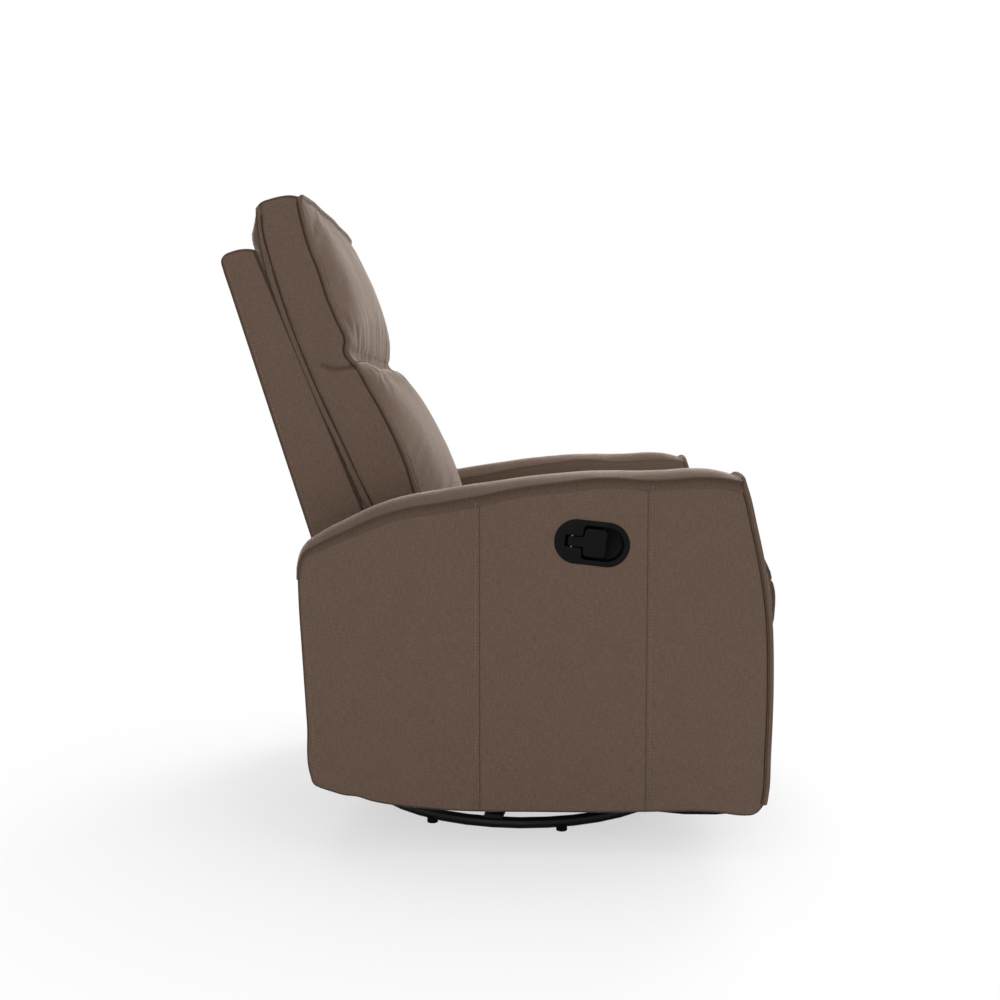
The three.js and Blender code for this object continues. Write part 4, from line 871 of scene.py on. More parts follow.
SIDES = {"left": 1.0, "right": -1.0}
arms = {}
for name, side in SIDES.items():
    arm = new_object(
        f"arm_cover_{name}", mirror_to(arm_points, side), arm_sheets, arm_crease, "carriage", FABRIC
    )
    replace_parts(arm, f"arm_body_{name}")
    arms[name] = arm
print("arm covers:", [len(arm.data.polygons) for arm in arms.values()], "faces")


# %% [markdown]
# ### Arm pads
# The pad on top is a strip of foam under its own panel. It swells by up to 15 mm above the top seams,
# thins out towards both ends, and ends at the piping of the front panel.


# %% Arm pads
PAD_X = [-333, -317, -250, -134, -61, -16, 64, 112, 140, 191, 225, 290, 312, 330]
PAD_SWELL = [8, 11.5, 14.5, 15.5, 14.8, 11.5, 9.5, 7.5, 7.5, 10.5, 10.5, 10, 8, 5.5]
PAD_THICKNESS, WRAP_DROP, WRAP_OUT = 16.0, 42.0, 0.8


def crown_ring(count_top=35, count_under=9):
    """Places across an arm pad, from a drop inside the arm over the crown to the outer seam, and back."""
    low, high = ARM_INNER - WRAP_OUT, ARM_OUTER - RIM
    t = (1 - np.cos(np.linspace(0, math.pi, count_top))) / 2
    t = 0.5 * t + 0.5 * np.linspace(0, 1, count_top)
    c = low + t * (high - low)
    s = np.abs(2 * t - 1)
    inside, outside = c - low, high - c
    edge = np.where(inside < outside, -rounded(inside, 9.0), RIM - rounded(outside, RIM))
    edge = np.where(inside < outside, edge + RIM * smooth_step(inside, 0, 40), edge)
    drop = np.linspace(WRAP_DROP, 12, 7)
    c = np.r_[np.full(len(drop), low), c]
    height = np.r_[-drop, edge]
    dome = np.r_[np.zeros(len(drop)), 1 - s**2.3]
    outside = np.r_[np.full(len(drop), 90.0), outside]
    under = np.linspace(high - 1.5, low + 4.0, count_under)
    return c, height, dome, outside, under


def pad_surface(line, normal):
    """The pad along the top seam: p + n (edge(c) + swell(x) dome(c)), closed beneath."""
    c, height, dome, outside, under = crown_ring()
    run = run_of(line)
    wrap = np.minimum(1, 0.15 + run / 60)[:, None] * np.minimum(1, 0.3 + (run[-1] - run) / 30)[:, None]
    swell = np.interp(line[:, 0], PAD_X, PAD_SWELL)
    wave = 0.45 * ripple(run[:, None], c[None, :], 11, 130) * dome[None, :]
    edge = np.where(height < 0, height * wrap, height[None, :])
    top = edge + swell[:, None] * dome[None, :] + wave
    drop = np.minimum(PAD_THICKNESS, 2.0 + 0.12 * run)
    offset = np.concatenate([top, -np.repeat(drop[:, None], len(under), axis=1)], axis=1)
    level = np.concatenate([c, under])
    points = np.empty((len(line), len(level), 3))
    points[..., :2] = line[:, None, :] + offset[..., None] * normal[:, None, :]
    points[..., 2] = level[None, :]
    across = np.r_[0, np.cumsum(np.hypot(np.diff(level), np.diff(offset[len(line) // 2])))]
    uv = np.stack(np.broadcast_arrays(run[:, None], across[None, :]), -1)
    # Painted shade along the outer top seam, by the crease value.
    crease = np.zeros(offset.shape)
    crease[:, : len(c)] = near_line(outside, 1.3)
    return points, uv, crease


def end_caps(rows, columns):
    """Faces that close both ends of a ring surface by strips across it."""
    caps = []
    for row, flip in ((0, True), (rows - 1, False)):
        ring = row * columns + np.arange(columns)
        half = columns // 2
        first, last = ring[:half], ring[::-1][:half]
        strip = np.stack([first[:-1], first[1:], last[1:], last[:-1]], -1)
        caps.append(strip[:, ::-1] if flip else strip)
    return np.concatenate(caps)


top_line = dense(ARM_TOP, 170)
tangent = along_path(top_line)
top_normal = np.column_stack([-tangent[:, 1], tangent[:, 0]])
pad_points, pad_uv, pad_crease = pad_surface(top_line, top_normal)
rows, columns = pad_points.shape[:2]
pad_faces = np.concatenate([grid_quads(rows, columns, wrap=True), end_caps(rows, columns)])


def pad_held(places):
    """An arm pad stays still along both seams, at its ends and underneath."""
    across = np.abs(places[:, 1])
    raised = places[:, 2] - np.interp(places[:, 0], top_line[:, 0], top_line[:, 1])
    ends = (places[:, 0] < top_line[0, 0] + 25) | (places[:, 0] > top_line[-1, 0] - 8)
    return (across < ARM_INNER + 7) | (across > ARM_OUTER - 9) | (raised < 3) | ends


for name, side in SIDES.items():
    pad = new_object(
        f"arm_pad_cover_{name}", mirror_to(pad_points.reshape(-1, 3), side), [(pad_faces, pad_uv.reshape(-1, 2))],
        pad_crease.reshape(-1), "carriage", FABRIC,
    )
    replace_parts(pad, f"arm_pad_{name}")
    if side > 0:
        stuffed(pad, pad_held, pressure=3.0, voxel=0.006, cap=2.5)
        swollen = coordinates(pad.data) * [1, -1, 1]
    elif len(pad.data.vertices) == len(swollen):
        pad.data.vertices.foreach_set("co", swollen.astype(np.float32).reshape(-1))
        pad.data.update()
print("arm pad crown:", round(float(pad_points[..., 1].max()), 1), "mm high")


# %% [markdown]
# ### Piping and topstitching of the arms
# A piped cord of cover fabric runs up the outer edge of the front panel, over the end of the pad and
# down the inner edge. Thread shows as small even stitches beside the upright seams and along the rear
# edge. Another row runs above the outer top seam, sunk into the pad. Thin dark cords in the top seam
# and beside the front panel's seam are painted shadow lines.


# %% Arm piping and stitches
ARM_PIPING_RADIUS, TOP_SEAM_SHADOW_RADIUS, FRONT_SEAM_SHADOW_RADIUS = 3.5, 0.6, 0.9
STITCHES_FROM_SEAM, STITCHES_FROM_REAR, STITCH_DEPTH = 6.0, 7.5, 0.4


def bend_round(points, count, soften=3):
    """Evenly spaced places along a line, with its corners eased by repeated averaging."""
    points = np.asarray(points, float)
    run = run_of(points)
    at = np.linspace(0, run[-1], count)
    line = np.stack([np.interp(at, run, points[:, k]) for k in range(points.shape[1])], -1)
    for _ in range(soften):
        line[1:-1] = (line[:-2] + 2 * line[1:-1] + line[2:]) / 4
    return line


def front_piping():
    """Path of the front panel's cord in slab places: up outside, over the pad's end, down inside."""
    edge = dense(ARM_FRONT, 120)[3:]
    ahead = along_path(edge)
    out = np.column_stack([ahead[:, 1], -ahead[:, 0]])
    outer = np.column_stack([edge + 2.4 * out, np.full(len(edge), ARM_OUTER - 1.0)])
    inner = np.column_stack([edge + 2.4 * out, np.full(len(edge), ARM_INNER + 1.0)])
    c, height, dome, _, _ = crown_ring()
    over = slice(int((height < -2).sum()), None)
    swell = (PAD_SWELL[-1] * dome + height)[over] + 1.4
    corner, lean = edge[-1] + np.array([1.5, 0.5]), top_normal[-1]
    across = np.column_stack([corner + swell[:, None] * lean, c[over]])
    return np.concatenate([outer[:-2], across[::-1][2:-2], inner[::-1][2:]])


piping = bend_round(front_piping(), 420)
stitch_lines = {}
across_pad, _, _, outside_pad, _ = crown_ring()
for name, side in SIDES.items():
    path = mirror_to(piping, side)
    cord_object(f"arm_piping_{name}", [path], [[1.0, 0.0, 0.0]], ARM_PIPING_RADIUS, "carriage", PIPING)
    lines = []
    for x in (ARM_SEAMS[0] - STITCHES_FROM_SEAM, ARM_SEAMS[1] + STITCHES_FROM_SEAM):
        top_z = float(np.interp(x, top_line[:, 0], top_line[:, 1]))
        z = np.linspace(74, top_z - 4, 60)
        y = ARM_OUTER + SIDE_PADDING - STITCH_DEPTH
        lines.append((standing(np.column_stack([np.full(60, x), z]), y * side), [0, side, 0]))
    column = int(np.abs(outside_pad - 4.5).argmin())
    line = mirror_to(pad_points[4:-4, column], side)
    lean = mirror_to(np.column_stack([top_normal, np.full(len(top_normal), 0.5)]), side)[4:-4]
    lines.append((line, lean))
    rear = dense(ARM_REAR, 60)[4:-3] + np.array([STITCHES_FROM_REAR, 0])
    lines.append((standing(rear, (ARM_OUTER + STITCH_DEPTH) * side), [0, side, 0]))
    stitch_object(f"arm_stitches_{name}", lines, "carriage")
    # Thin dark cords in the top seam and beside the front panel's seam: painted shadow lines.
    seam = np.column_stack([top_line - 0.6 * top_normal, np.full(len(top_line), ARM_OUTER + 0.5)])[2:-2]
    front = dense(ARM_FRONT, 160)[4:-4]
    inward = np.column_stack([-along_path(front)[:, 1], along_path(front)[:, 0]])
    band = np.column_stack([front + 4.0 * inward, np.full(len(front), ARM_OUTER + 0.35)])
    for label, line, radius in (("arm_seam_shadow", seam, TOP_SEAM_SHADOW_RADIUS), ("arm_front_seam_shadow", band, FRONT_SEAM_SHADOW_RADIUS)):
        line = mirror_to(line, side)
        cord_object(f"{label}_{name}", [line], [[0.0, 1.0, 0.0]], radius, "carriage", SEAM_SHADOW, SEAM_SHADOW_SIDES)
print("piping:", round(run_of(piping)[-1]), "mm a side")


# %% [markdown]
# ### Opening for the handle
# The release handle sits in a cup let into the outer side of the right arm. The cover is cut out
# behind the bezel's rim, so that the cup stands in a real opening.


# %% Cut the handle's opening
def stadium(half_straight, radius, count=96):
    """A closed outline of two half circles joined by straight sides, counter-clockwise."""
    angle = np.linspace(-math.pi / 2, math.pi / 2, count // 2)
    right = np.column_stack([half_straight + radius * np.cos(angle), radius * np.sin(angle)])
    return np.vstack([right, -right])


def prism(name, outline, low, high):
    """A closed block with an outline in x and z, between two y, in millimetres."""
    count = len(outline)
    rings = np.concatenate([standing(outline, y) for y in (low, high)])
    ends = [list(range(count))[::-1], list(range(count, 2 * count))]
    block = meshed(name, rings, grid_quads(2, count, wrap=True).tolist() + ends)
    close_up(block)
    return block


bezel_low, bezel_high = node_box("handle_bezel")
HANDLE_CENTRE = (bezel_low[[0, 2]] + bezel_high[[0, 2]]) / 2
HANDLE_TILT = math.radians(-6.4)
tilt_cos, tilt_sin = math.cos(HANDLE_TILT), math.sin(HANDLE_TILT)
turn = np.array([[tilt_cos, tilt_sin], [-tilt_sin, tilt_cos]])


def on_handle(points):
    """Places (along, up) on the tilted handle as (x, z)."""
    return np.asarray(points, float) @ turn + HANDLE_CENTRE


cutter = prism("handle_cutter", on_handle(stadium(23, 31)), -ARM_OUTER - 20, -ARM_OUTER + 28)
knife = arms["right"].modifiers.new("opening", "BOOLEAN")
knife.operation = "DIFFERENCE"
knife.object = cutter
bpy.context.view_layer.update()
applied(arms["right"])
bpy.data.objects.remove(cutter)
print("right arm after the cut:", len(arms["right"].data.polygons), "faces")


# %% [markdown]
# ## Backrest
# The backrest is a boxed wooden frame, covered plainly, with a loose-looking cushion sewn to its
# front. Both lean back by 17.5 degrees. Places on them are given as (u, w): up along the frame's rear
# face and forwards from it.


# %% The back's own axes
LEAN = math.radians(17.5)
UP = np.array([-math.sin(LEAN), math.cos(LEAN)])
FORWARD = np.array([math.cos(LEAN), math.sin(LEAN)])
BACK_FOOT = np.array([-222.0, 309.0])


def on_back(u, w):
    """Places (x, z) from the way up the back, u, and the way forwards, w."""
    return BACK_FOOT + np.multiply.outer(np.asarray(u, float), UP) + np.multiply.outer(np.asarray(w, float), FORWARD)


def edge_lines(low, high, rear, front, columns, rows):
    """Four smooth edge lines of a panel at shares across (columns) and upwards (rows)."""
    return smooth_curve(low, columns), smooth_curve(high, columns), smooth_curve(rear, rows), smooth_curve(front, rows)


# %% Back frame
frame_low, frame_high = node_box("back_frame")
FRAME_REAR, FRAME_FRONT, FRAME_TAPER = -58.0, 47.0, 52.0
FRAME_FOOT, FRAME_RISE = 30.0, 626.0


def back_frame_panel(a, b, d, side):
    """The boxed side of the back frame: thin wadding pulled tight, with slow waves."""
    return 1.3 * (1 - np.exp(-d / 20)) + 0.35 * ripple(a, b, 21, 160) * (1 - np.exp(-d / 25)), np.zeros(len(a))


def back_frame_swell(loop, normal, c, s):
    """The rear face swells 5 mm, with slow waves, and the front, top and bottom stay nearly flat."""
    rear = smooth_step(-(normal @ FORWARD), 0.5, 0.9)
    waves = 0.7 * ripple(loop[:, 1][None, :], c, 22, 240)
    return (0.6 + (4.4 + waves) * rear[None, :]) * (1 - np.abs(s) ** 4)


frame_edges = edge_lines(
    [on_back(FRAME_FOOT, w) for w in (FRAME_REAR, 0, FRAME_FRONT)],
    [on_back(u, w) for u, w in ((654, -55.5), (657.5, -50), (658.5, -40), (657, -22), (653, -10), (650, -4.6))],
    [on_back(u, FRAME_REAR) for u in (FRAME_FOOT, 200, 400, 600, 642)] + [on_back(650, -57.5), on_back(654, -55.5)],
    [on_back(u, FRAME_FRONT - FRAME_TAPER * (u - FRAME_FOOT) / FRAME_RISE) for u in (FRAME_FOOT, 200, 400, 600, 650)],
    stations(105, 6) / 105, stations(FRAME_RISE, 7) / FRAME_RISE,
)
across_frame = np.r_[0, 0.003, 0.007, 0.013, np.linspace(0.03, 0.97, 49), 0.987, 0.993, 0.997, 1]
points, sheets, crease, _ = slab(
    frame_edges, frame_low[1], frame_high[1], across_frame, 3.2, 3.2, back_frame_swell, back_frame_panel
)
back_cover = new_object("back_frame_cover", in_frame(points, (0, 2, 1)), sheets, crease, "back", FABRIC)
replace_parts(back_cover, "back_frame")
lines = []
for side in (-1, 1):
    rear = np.array([on_back(u, FRAME_REAR + 5.0) for u in np.linspace(42, 640, 90)])
    lines.append((standing(rear, frame_high[1] * side + 0.35 * side), [0, side, 0]))
stitch_object("back_frame_stitches", lines, "back")
print("back frame cover:", len(back_cover.data.polygons), "faces")


# %% [markdown]
# ### Back cushion
# One cushion with two swells: a lumbar pillow below and a head pillow above, drawn in between by a
# seam across. Its sides are narrow boxing panels, with piping at their front edge and a thicker welt
# at the rear one. Fibre filling crowns it most in the middle of its width. The cloth beside the drawn
# seam gathers into small upright folds.


# %% Back cushion surface
_, cushion_high = node_box("back_cushion")
CUSHION_HALF = cushion_high[1] - 0.5
CUSHION_RIM = 5.0
CUSHION_REAR = [
    (-204.5, 453), (-248, 526), (-290, 616), (-331, 703), (-362, 779), (-388, 852), (-405, 914), (-413, 960),
    (-415, 994),
]
CUSHION_FRONT = [
    (-151, 470), (-159, 506), (-170, 550), (-183, 594), (-200, 634.5), (-221.5, 678), (-243.5, 717),
    (-258, 742), (-267, 752), (-275, 761), (-279, 771), (-277, 786), (-291, 821), (-306, 858), (-318, 897),
    (-332, 932), (-345, 979), (-351, 1009),
]
CUSHION_TOP = [(-415, 994), (-409, 1001), (-396, 1006), (-380, 1010), (-365, 1011.5), (-351, 1009)]
CUSHION_BOTTOM = [(-204.5, 453), (-178, 461), (-151, 470)]
CROWN = [
    (0, 33), (0.1, 31), (0.18, 27), (0.25, 22.5), (0.33, 20.5), (0.41, 21), (0.46, 21), (0.495, 12.5),
    (0.53, 8.5), (0.56, 9.5), (0.58, 11), (0.6, 15), (0.63, 21), (0.72, 22.5), (0.8, 21.5), (0.85, 19.5),
    (0.88, 17.5), (0.92, 14), (0.95, 10.5), (0.975, 6.5), (1, 1),
]
CROWN_SHARES = np.linspace(-0.1, 1.1, 481)
CROWN_EASING = np.hanning(15) / np.hanning(15).sum()
CROWN_HEIGHTS = np.convolve(np.interp(CROWN_SHARES, *zip(*CROWN)), CROWN_EASING, "same")
NOTCH = 9.0
DRAWN_SHARE = 0.512
U_LOW, U_SPAN = 132.0, 581.0


def height_share(loop):
    """How far up the cushion a place lies, from 0 at its foot to 1 at its top."""
    return ((loop - BACK_FOOT) @ UP - U_LOW) / U_SPAN


def drawn_arch(s):
    """How much higher the drawn seam runs between the middle and each side, in millimetres."""
    return 9.0 * near_line(np.abs(s) - 0.85, 0.17)


def above_seam(flat, y):
    """How far up the back places (x, z) at y lie above the drawn seam."""
    return (flat - BACK_FOOT) @ UP - U_LOW - DRAWN_SHARE * U_SPAN - drawn_arch(y / CUSHION_HALF)


def cushion_swell(loop, normal, c, s):
    """Crown of the cushion: by height in front, a slight sag on top, a roll behind above the frame."""
    share = height_share(loop)[None, :]
    front = smooth_step(normal @ FORWARD, 0.15, 0.75)[None, :]
    top = (smooth_step(normal @ UP, 0.3, 0.85) * (share[0] > 0.8))[None, :]
    rear = smooth_step(-(normal @ FORWARD), 0.3, 0.8)[None, :]
    away = (share - DRAWN_SHARE) * U_SPAN - drawn_arch(s) * near_line(share - DRAWN_SHARE, 0.14)
    crown = np.interp(DRAWN_SHARE + away / U_SPAN, CROWN_SHARES, CROWN_HEIGHTS) - NOTCH * near_line(away + 1, 11)
    roll = 26 * smooth_step(loop[:, 1], 908, 950) * (1 - smooth_step(loop[:, 1], 960, 996))
    rise = front * crown - (1 - front) * top * 3
    profile = 1.12 - 0.56 * np.abs(s) ** 6 - 0.56 * np.abs(s) ** 2.4
    shape = rise * profile + rear * (1 - top) * roll * (1 - s**6)
    shift = 5 * ripple(c, np.zeros_like(c), 31, 120)
    fold = np.sin(math.tau * (c + shift) / 29) + 0.5 * np.sin(math.tau * (c - shift) / 17 + 1.3)
    fold *= 0.8 + 0.4 * ripple(c, np.zeros_like(c), 37, 210)
    reach = np.where(away > 0, np.exp(-((away / 52) ** 2)) * 1.15, np.exp(-((away / 26) ** 2)) * 0.6)
    gather = fold * reach * smooth_step(np.abs(away), 1, 12) * front * (1 - np.abs(s) ** 6)
    seam = 4.0 * near_line(away, 3.0) * front * (1 - 0.5 * np.abs(s) ** 8)
    waves = 1.4 * ripple(share * U_SPAN, c, 33, 170) * front * (1 - np.abs(s) ** 4)
    return shape + gather - seam + waves


def overhang(points):
    """Lets the head pillow sag over the drawn seam and the lumbar pillow well up to it.

    A place at a height h above the seam moves down by 6 (h / 14) exp(1 - h / 14), and one below it
    moves up by 3.5 times the same, everywhere on the front but close to its sides.
    """
    forward = (points[:, :2] - BACK_FOOT) @ FORWARD
    s = points[:, 2] / CUSHION_HALF
    h = above_seam(points[:, :2], points[:, 2])
    weight = smooth_step(forward, 84, 106) * (1 - np.clip(np.abs(s), 0, 1) ** 12)
    sag = np.where(h > 0, 6.0, -3.5) * np.abs(h) / 14 * np.exp(1 - np.abs(h) / 14)
    moved = points.copy()
    moved[:, :2] -= (weight * sag)[:, None] * UP
    return moved


CREASE_LINE = np.array([(-262, 748), (-275, 745), (-292, 743), (-306, 745), (-318, 750)])


def rear_groove(z):
    """How far from the rear edge the groove in front of the rear welt runs, at a height."""
    return 9.5 - 4.0 * smooth_step(z, 900, 965)


def cushion_panel(a, b, d, side):
    """Swell of a boxing panel: soft, with the fold that runs back from the drawn seam."""
    places = np.column_stack([a, b])
    fold, behind = from_polyline(places, CREASE_LINE), from_polyline(places, CUSHION_REAR)
    above = smooth_step(b, 744, 760)
    out = 4.5 * (1 - np.exp(-d / 16)) + 0.7 * ripple(a, b, 35, 90) * (1 - np.exp(-d / 12))
    groove = rear_groove(b)
    out -= 2.6 * near_line(behind - groove, 2.4) + 2.0 * smooth_step(groove - behind, 0, 5)
    out -= 3.6 * near_line(fold, 3.2) * (1 - 0.6 * above) + 1.2 * near_line(fold, 12)
    out += 1.6 * near_line(fold - 9, 6) * smooth_step(a, -330, -300)
    # Painted shade by the crease value along the fold and in the groove before the rear welt.
    return out, np.maximum(0.6 * near_line(fold, 1.6), near_line(behind - groove, 1.4))


def across_shares(inset, count):
    """Shares across a cushion: even between the insets, and closer together towards both seams."""
    ends = np.array([0, 0.002, 0.005, 0.010, 0.018, 0.03])
    return np.unique(np.round(np.r_[ends, 1 - ends, np.linspace(inset, 1 - inset, count)], 5))


share_up = stations(560, 6) / 560
share_up = np.sort(np.r_[share_up[np.abs(share_up - 0.515) > 0.0625], np.linspace(0.455, 0.575, 40)])
cushion_edges = edge_lines(CUSHION_BOTTOM, CUSHION_TOP, CUSHION_REAR, CUSHION_FRONT, stations(75, 2.6) / 75, share_up)
cushion_points, sheets, crease, cushion_layout = slab(
    cushion_edges, -CUSHION_HALF, CUSHION_HALF, across_shares(0.04, 121), CUSHION_RIM, CUSHION_RIM,
    cushion_swell, cushion_panel,
)
cushion_points = overhang(cushion_points)
back_cushion = new_object(
    "back_cushion_cover", in_frame(cushion_points, (0, 2, 1)), sheets, crease, "back", FABRIC
)
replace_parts(back_cushion, "back_cushion")


def back_sewn(places):
    """The parts of the back cushion that stay still: its sides and top, the drawn seam and the rear."""
    flat = places[:, [0, 2]]
    side = np.abs(places[:, 1]) > CUSHION_HALF - 14
    forward = (flat - BACK_FOOT) @ FORWARD
    drawn = (np.abs(above_seam(flat, places[:, 1])) < 15) & (forward > 70)
    rear = (from_polyline(flat, CUSHION_REAR) < 25) & (flat[:, 1] < 925)
    return side | (from_polyline(flat, CUSHION_TOP) < 10) | drawn | rear


stuffed(back_cushion, back_sewn, pressure=5.0, voxel=0.007, cap=24.0, slack=0.012)
print("back cushion:", len(back_cushion.data.polygons), "faces")
print("its front before filling, x:", round(float(cushion_points[:, 0].max()), 1))


# %% [markdown]
# ### Piping and welts of the back cushion
# A round cord runs up the front edge of one boxing panel, over the top and down the other. It dips
# where the drawn seam meets it. A thicker one does the same along the rear edges. Thin dark cords
# beside the piping, in the groove before the rear welt and along the drawn seam are painted shadow
# lines.


# %% Back cushion piping
BACK_PIPING_RADIUS, BACK_WELT_RADIUS, BACK_SEAM_SHADOW_RADIUS = 3.7, 5.4, 0.95
WELT_SIDE = [0.95, 0, 0.3]


def round_welt(rings, normal, start, stop, lift, out):
    """A path up one side's outline, across the strip at its end, and down the other side."""
    index, corner = np.arange(start, stop) % len(normal), stop % len(normal)
    near, far = (
        cushion_points[rings[row, index]] + np.column_stack([normal[index] * lift, np.full(len(index), step)])
        for row, step in ((0, -out), (-1, out))
    )
    over = cushion_points[rings[2:-2, corner]] + np.append(normal[corner], 0) * lift
    return in_frame(bend_round(np.concatenate([near, over, far[::-1]]), 620, 4), (0, 2, 1))


rows, columns = cushion_layout["shape"]
rings, normal = cushion_layout["rings"], cushion_layout["normal"]
rear_corner = len(normal) - 1 - (2 * (columns - 1) + rows - 1)
front_path = round_welt(rings, normal, columns - 1, columns + rows - 2, 1.8, 0.4)
rear_path = round_welt(rings[:, ::-1], normal[::-1], 0, rear_corner, -4.2, 1.6)
for name, path, radius in (
    ("back_cushion_piping", front_path, BACK_PIPING_RADIUS), ("back_cushion_welt", rear_path, BACK_WELT_RADIUS)
):
    cord_object(name, [path], [np.cross(along_path(path), WELT_SIDE)], radius, "back", PIPING)
    print(name, round(run_of(path)[-1]), "mm long")


def beside_line(line, inward, side):
    """A painted shadow line in a seam on one boxing panel, moved inward from a line of places on its edge."""
    ahead = along_path(line)
    normal = np.column_stack([-ahead[:, 1], ahead[:, 0]])
    moved = line + np.broadcast_to(np.asarray(inward, float).reshape(-1, 1), (len(line), 1)) * normal
    return standing(moved, side * (CUSHION_HALF + 0.35))


front_edge = smooth_curve(CUSHION_FRONT, np.linspace(0.01, 0.995, 260))
rear_edge = smooth_curve(CUSHION_REAR, np.linspace(0.02, 0.985, 240))
rear_inward = -rear_groove(rear_edge[:, 1])
seams = []
for side in (-1, 1):
    seams += [beside_line(front_edge, 2.6, side), beside_line(rear_edge, rear_inward, side)]
# A painted shadow line along the drawn seam, just in front of the cloth.
strip = cushion_points[rings[2:-2]]
from_seam = np.abs(above_seam(strip[..., :2], strip[..., 2]) + 1.0)
in_front = (strip[..., :2] - BACK_FOOT) @ FORWARD > 60
nearest = np.where(in_front, from_seam, np.inf).argmin(axis=1)
drawn_line = strip[np.arange(len(strip)), nearest][:, [0, 2, 1]] + 0.4 * np.array([FORWARD[0], 0, FORWARD[1]])
seams.append(bend_round(drawn_line, 260, 2))
sideways = [[0.0, 1.0, 0.0]] * 4 + [[0.0, 0.0, 1.0]]
cord_object("back_cushion_seam_shadows", seams, sideways, BACK_SEAM_SHADOW_RADIUS, "back", SEAM_SHADOW, SEAM_SHADOW_SIDES)
print("back cushion's seam lines:", len(seams))


# %% [markdown]
# ## Seat cushion
# A foam block with a rounded nose, between the arms. The top panel runs over the nose to a seam just
# below it, and the front band hangs down from that seam behind the arms' front panels.


# %% Seat cushion surface
seat_low, seat_high = node_box("seat_cushion")
SEAT_BOTTOM = [
    (-156, 354), (-40, 354), (90, 354), (220, 354), (336, 354), (344, 351), (346, 340), (346.5, 326), (349, 318),
    (358, 316), (388, 316),
]
SEAT_TOP = [
    (-156, 446), (-80, 451), (0, 456), (75, 461), (150, 466), (220, 470.5), (280, 474), (322, 475), (348, 471),
    (368, 459), (384, 439), (396, 417), (400, 405),
]
SEAT_REAR = [(-156, 354), (-156, 400), (-156, 446)]
SEAT_FRONT = [(388, 316), (396, 323), (401, 336), (403, 355), (403.5, 380), (400, 405)]
SEAT_SEAM = np.array([400.0, 405.0])
SEAT_RIM, SEAT_INSET = 5.0, 1.2


def seat_swell(loop, normal, c, s):
    """Crown of the seat before filling: 11 mm at the nose's top, 10 mm on the nose and -4 mm further back."""
    top = smooth_step(normal[:, 1], 0.0, 0.8)
    front = smooth_step(normal[:, 0], 0.2, 0.8) * (loop[:, 0] > 300)
    lower = 15 * top * (1 - smooth_step(loop[:, 0], 230, 320))
    rise = (np.maximum(11 * top, 9.5 * front) - lower)[None, :] * (1 - np.abs(s) ** 2.6)
    away = np.linalg.norm(loop - SEAT_SEAM, axis=1)[None, :]
    groove = 2.6 * near_line(away, 2.0) + 1.2 * near_line(away, 9)
    waves = 1.2 * ripple(loop[:, 0][None, :] + loop[:, 1][None, :], c, 41, 150) * np.maximum(top, front)[None, :]
    return rise - groove * (1 - 0.3 * np.abs(s) ** 6) + waves * (1 - np.abs(s) ** 4)


def seat_panel(a, b, d, side):
    """A nearly flat side that swells a little, pressed against the arm."""
    return 1 - np.exp(-d / 18), np.zeros(len(a))


seat_edges = edge_lines(SEAT_BOTTOM, SEAT_TOP, SEAT_REAR, SEAT_FRONT, stations(600, 6.5) / 600, stations(92, 6) / 92)
points, sheets, crease, _ = slab(
    seat_edges, seat_low[1] + SEAT_INSET, seat_high[1] - SEAT_INSET, across_shares(0.03, 61), SEAT_RIM, SEAT_RIM,
    seat_swell, seat_panel,
)
# Painted shade by the crease value along the seam below the nose.
away = np.linalg.norm(points[:, :2] - SEAT_SEAM, axis=1)
crease = np.maximum(crease, near_line(away, CREASE_WIDTH) * (np.abs(points[:, 2]) < seat_high[1]))
seat_cushion = new_object("seat_cushion_cover", in_frame(points, (0, 2, 1)), sheets, crease, "carriage", FABRIC)
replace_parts(seat_cushion, "seat_cushion")


def seat_sewn(places):
    """The parts of the seat cushion that stay still: underneath, behind, at its sides and at its seam."""
    flat = places[:, [0, 2]]
    side = np.abs(places[:, 1]) > seat_high[1] - 9
    below = from_polyline(flat, SEAT_BOTTOM) < 9
    rear = flat[:, 0] < -140
    return side | below | rear | (np.linalg.norm(flat - SEAT_SEAM, axis=1) < 7) | (flat[:, 1] < 330)


stuffed(seat_cushion, seat_sewn, pressure=5.0, voxel=0.008, cap=22.0, slack=0.010)
print("seat cushion:", len(seat_cushion.data.polygons), "faces")


# %% [markdown]
# ## Footrest pad and rear rail
# The folded footrest shows its pad between the arms, under the seat's front band. Behind, a covered
# board closes the space between the arms below the back.


# %% Footrest pad
pad_low, pad_high = node_box("footrest_pad")


def board_edges(low, high, step):
    """Four straight edge lines of an upright rectangle in y and z."""
    width, height = high[1] - low[1], high[2] - low[2]
    run, rise = stations(width, step) / width, stations(height, step) / height
    y, z = low[1] + run * width, low[2] + rise * height
    return (
        np.column_stack([y, np.full(len(y), low[2])]), np.column_stack([y, np.full(len(y), high[2])]),
        np.column_stack([np.full(len(z), low[1]), z]), np.column_stack([np.full(len(z), high[1]), z]),
    )


def pad_panel(a, b, d, side):
    """The front face crowns 7 mm and the rear face lies flat on its board."""
    crown = 7.0 * (1 - np.exp(-d / 34)) + 0.7 * ripple(a, b, 51, 150) * (1 - np.exp(-d / 20))
    return crown * (side > 0), np.zeros(len(a))


def flat_swell(loop, normal, c, s):
    """A strip that swells by 2 mm."""
    return 2.0 * (1 - np.abs(s) ** 2) + np.zeros((1, len(loop)))


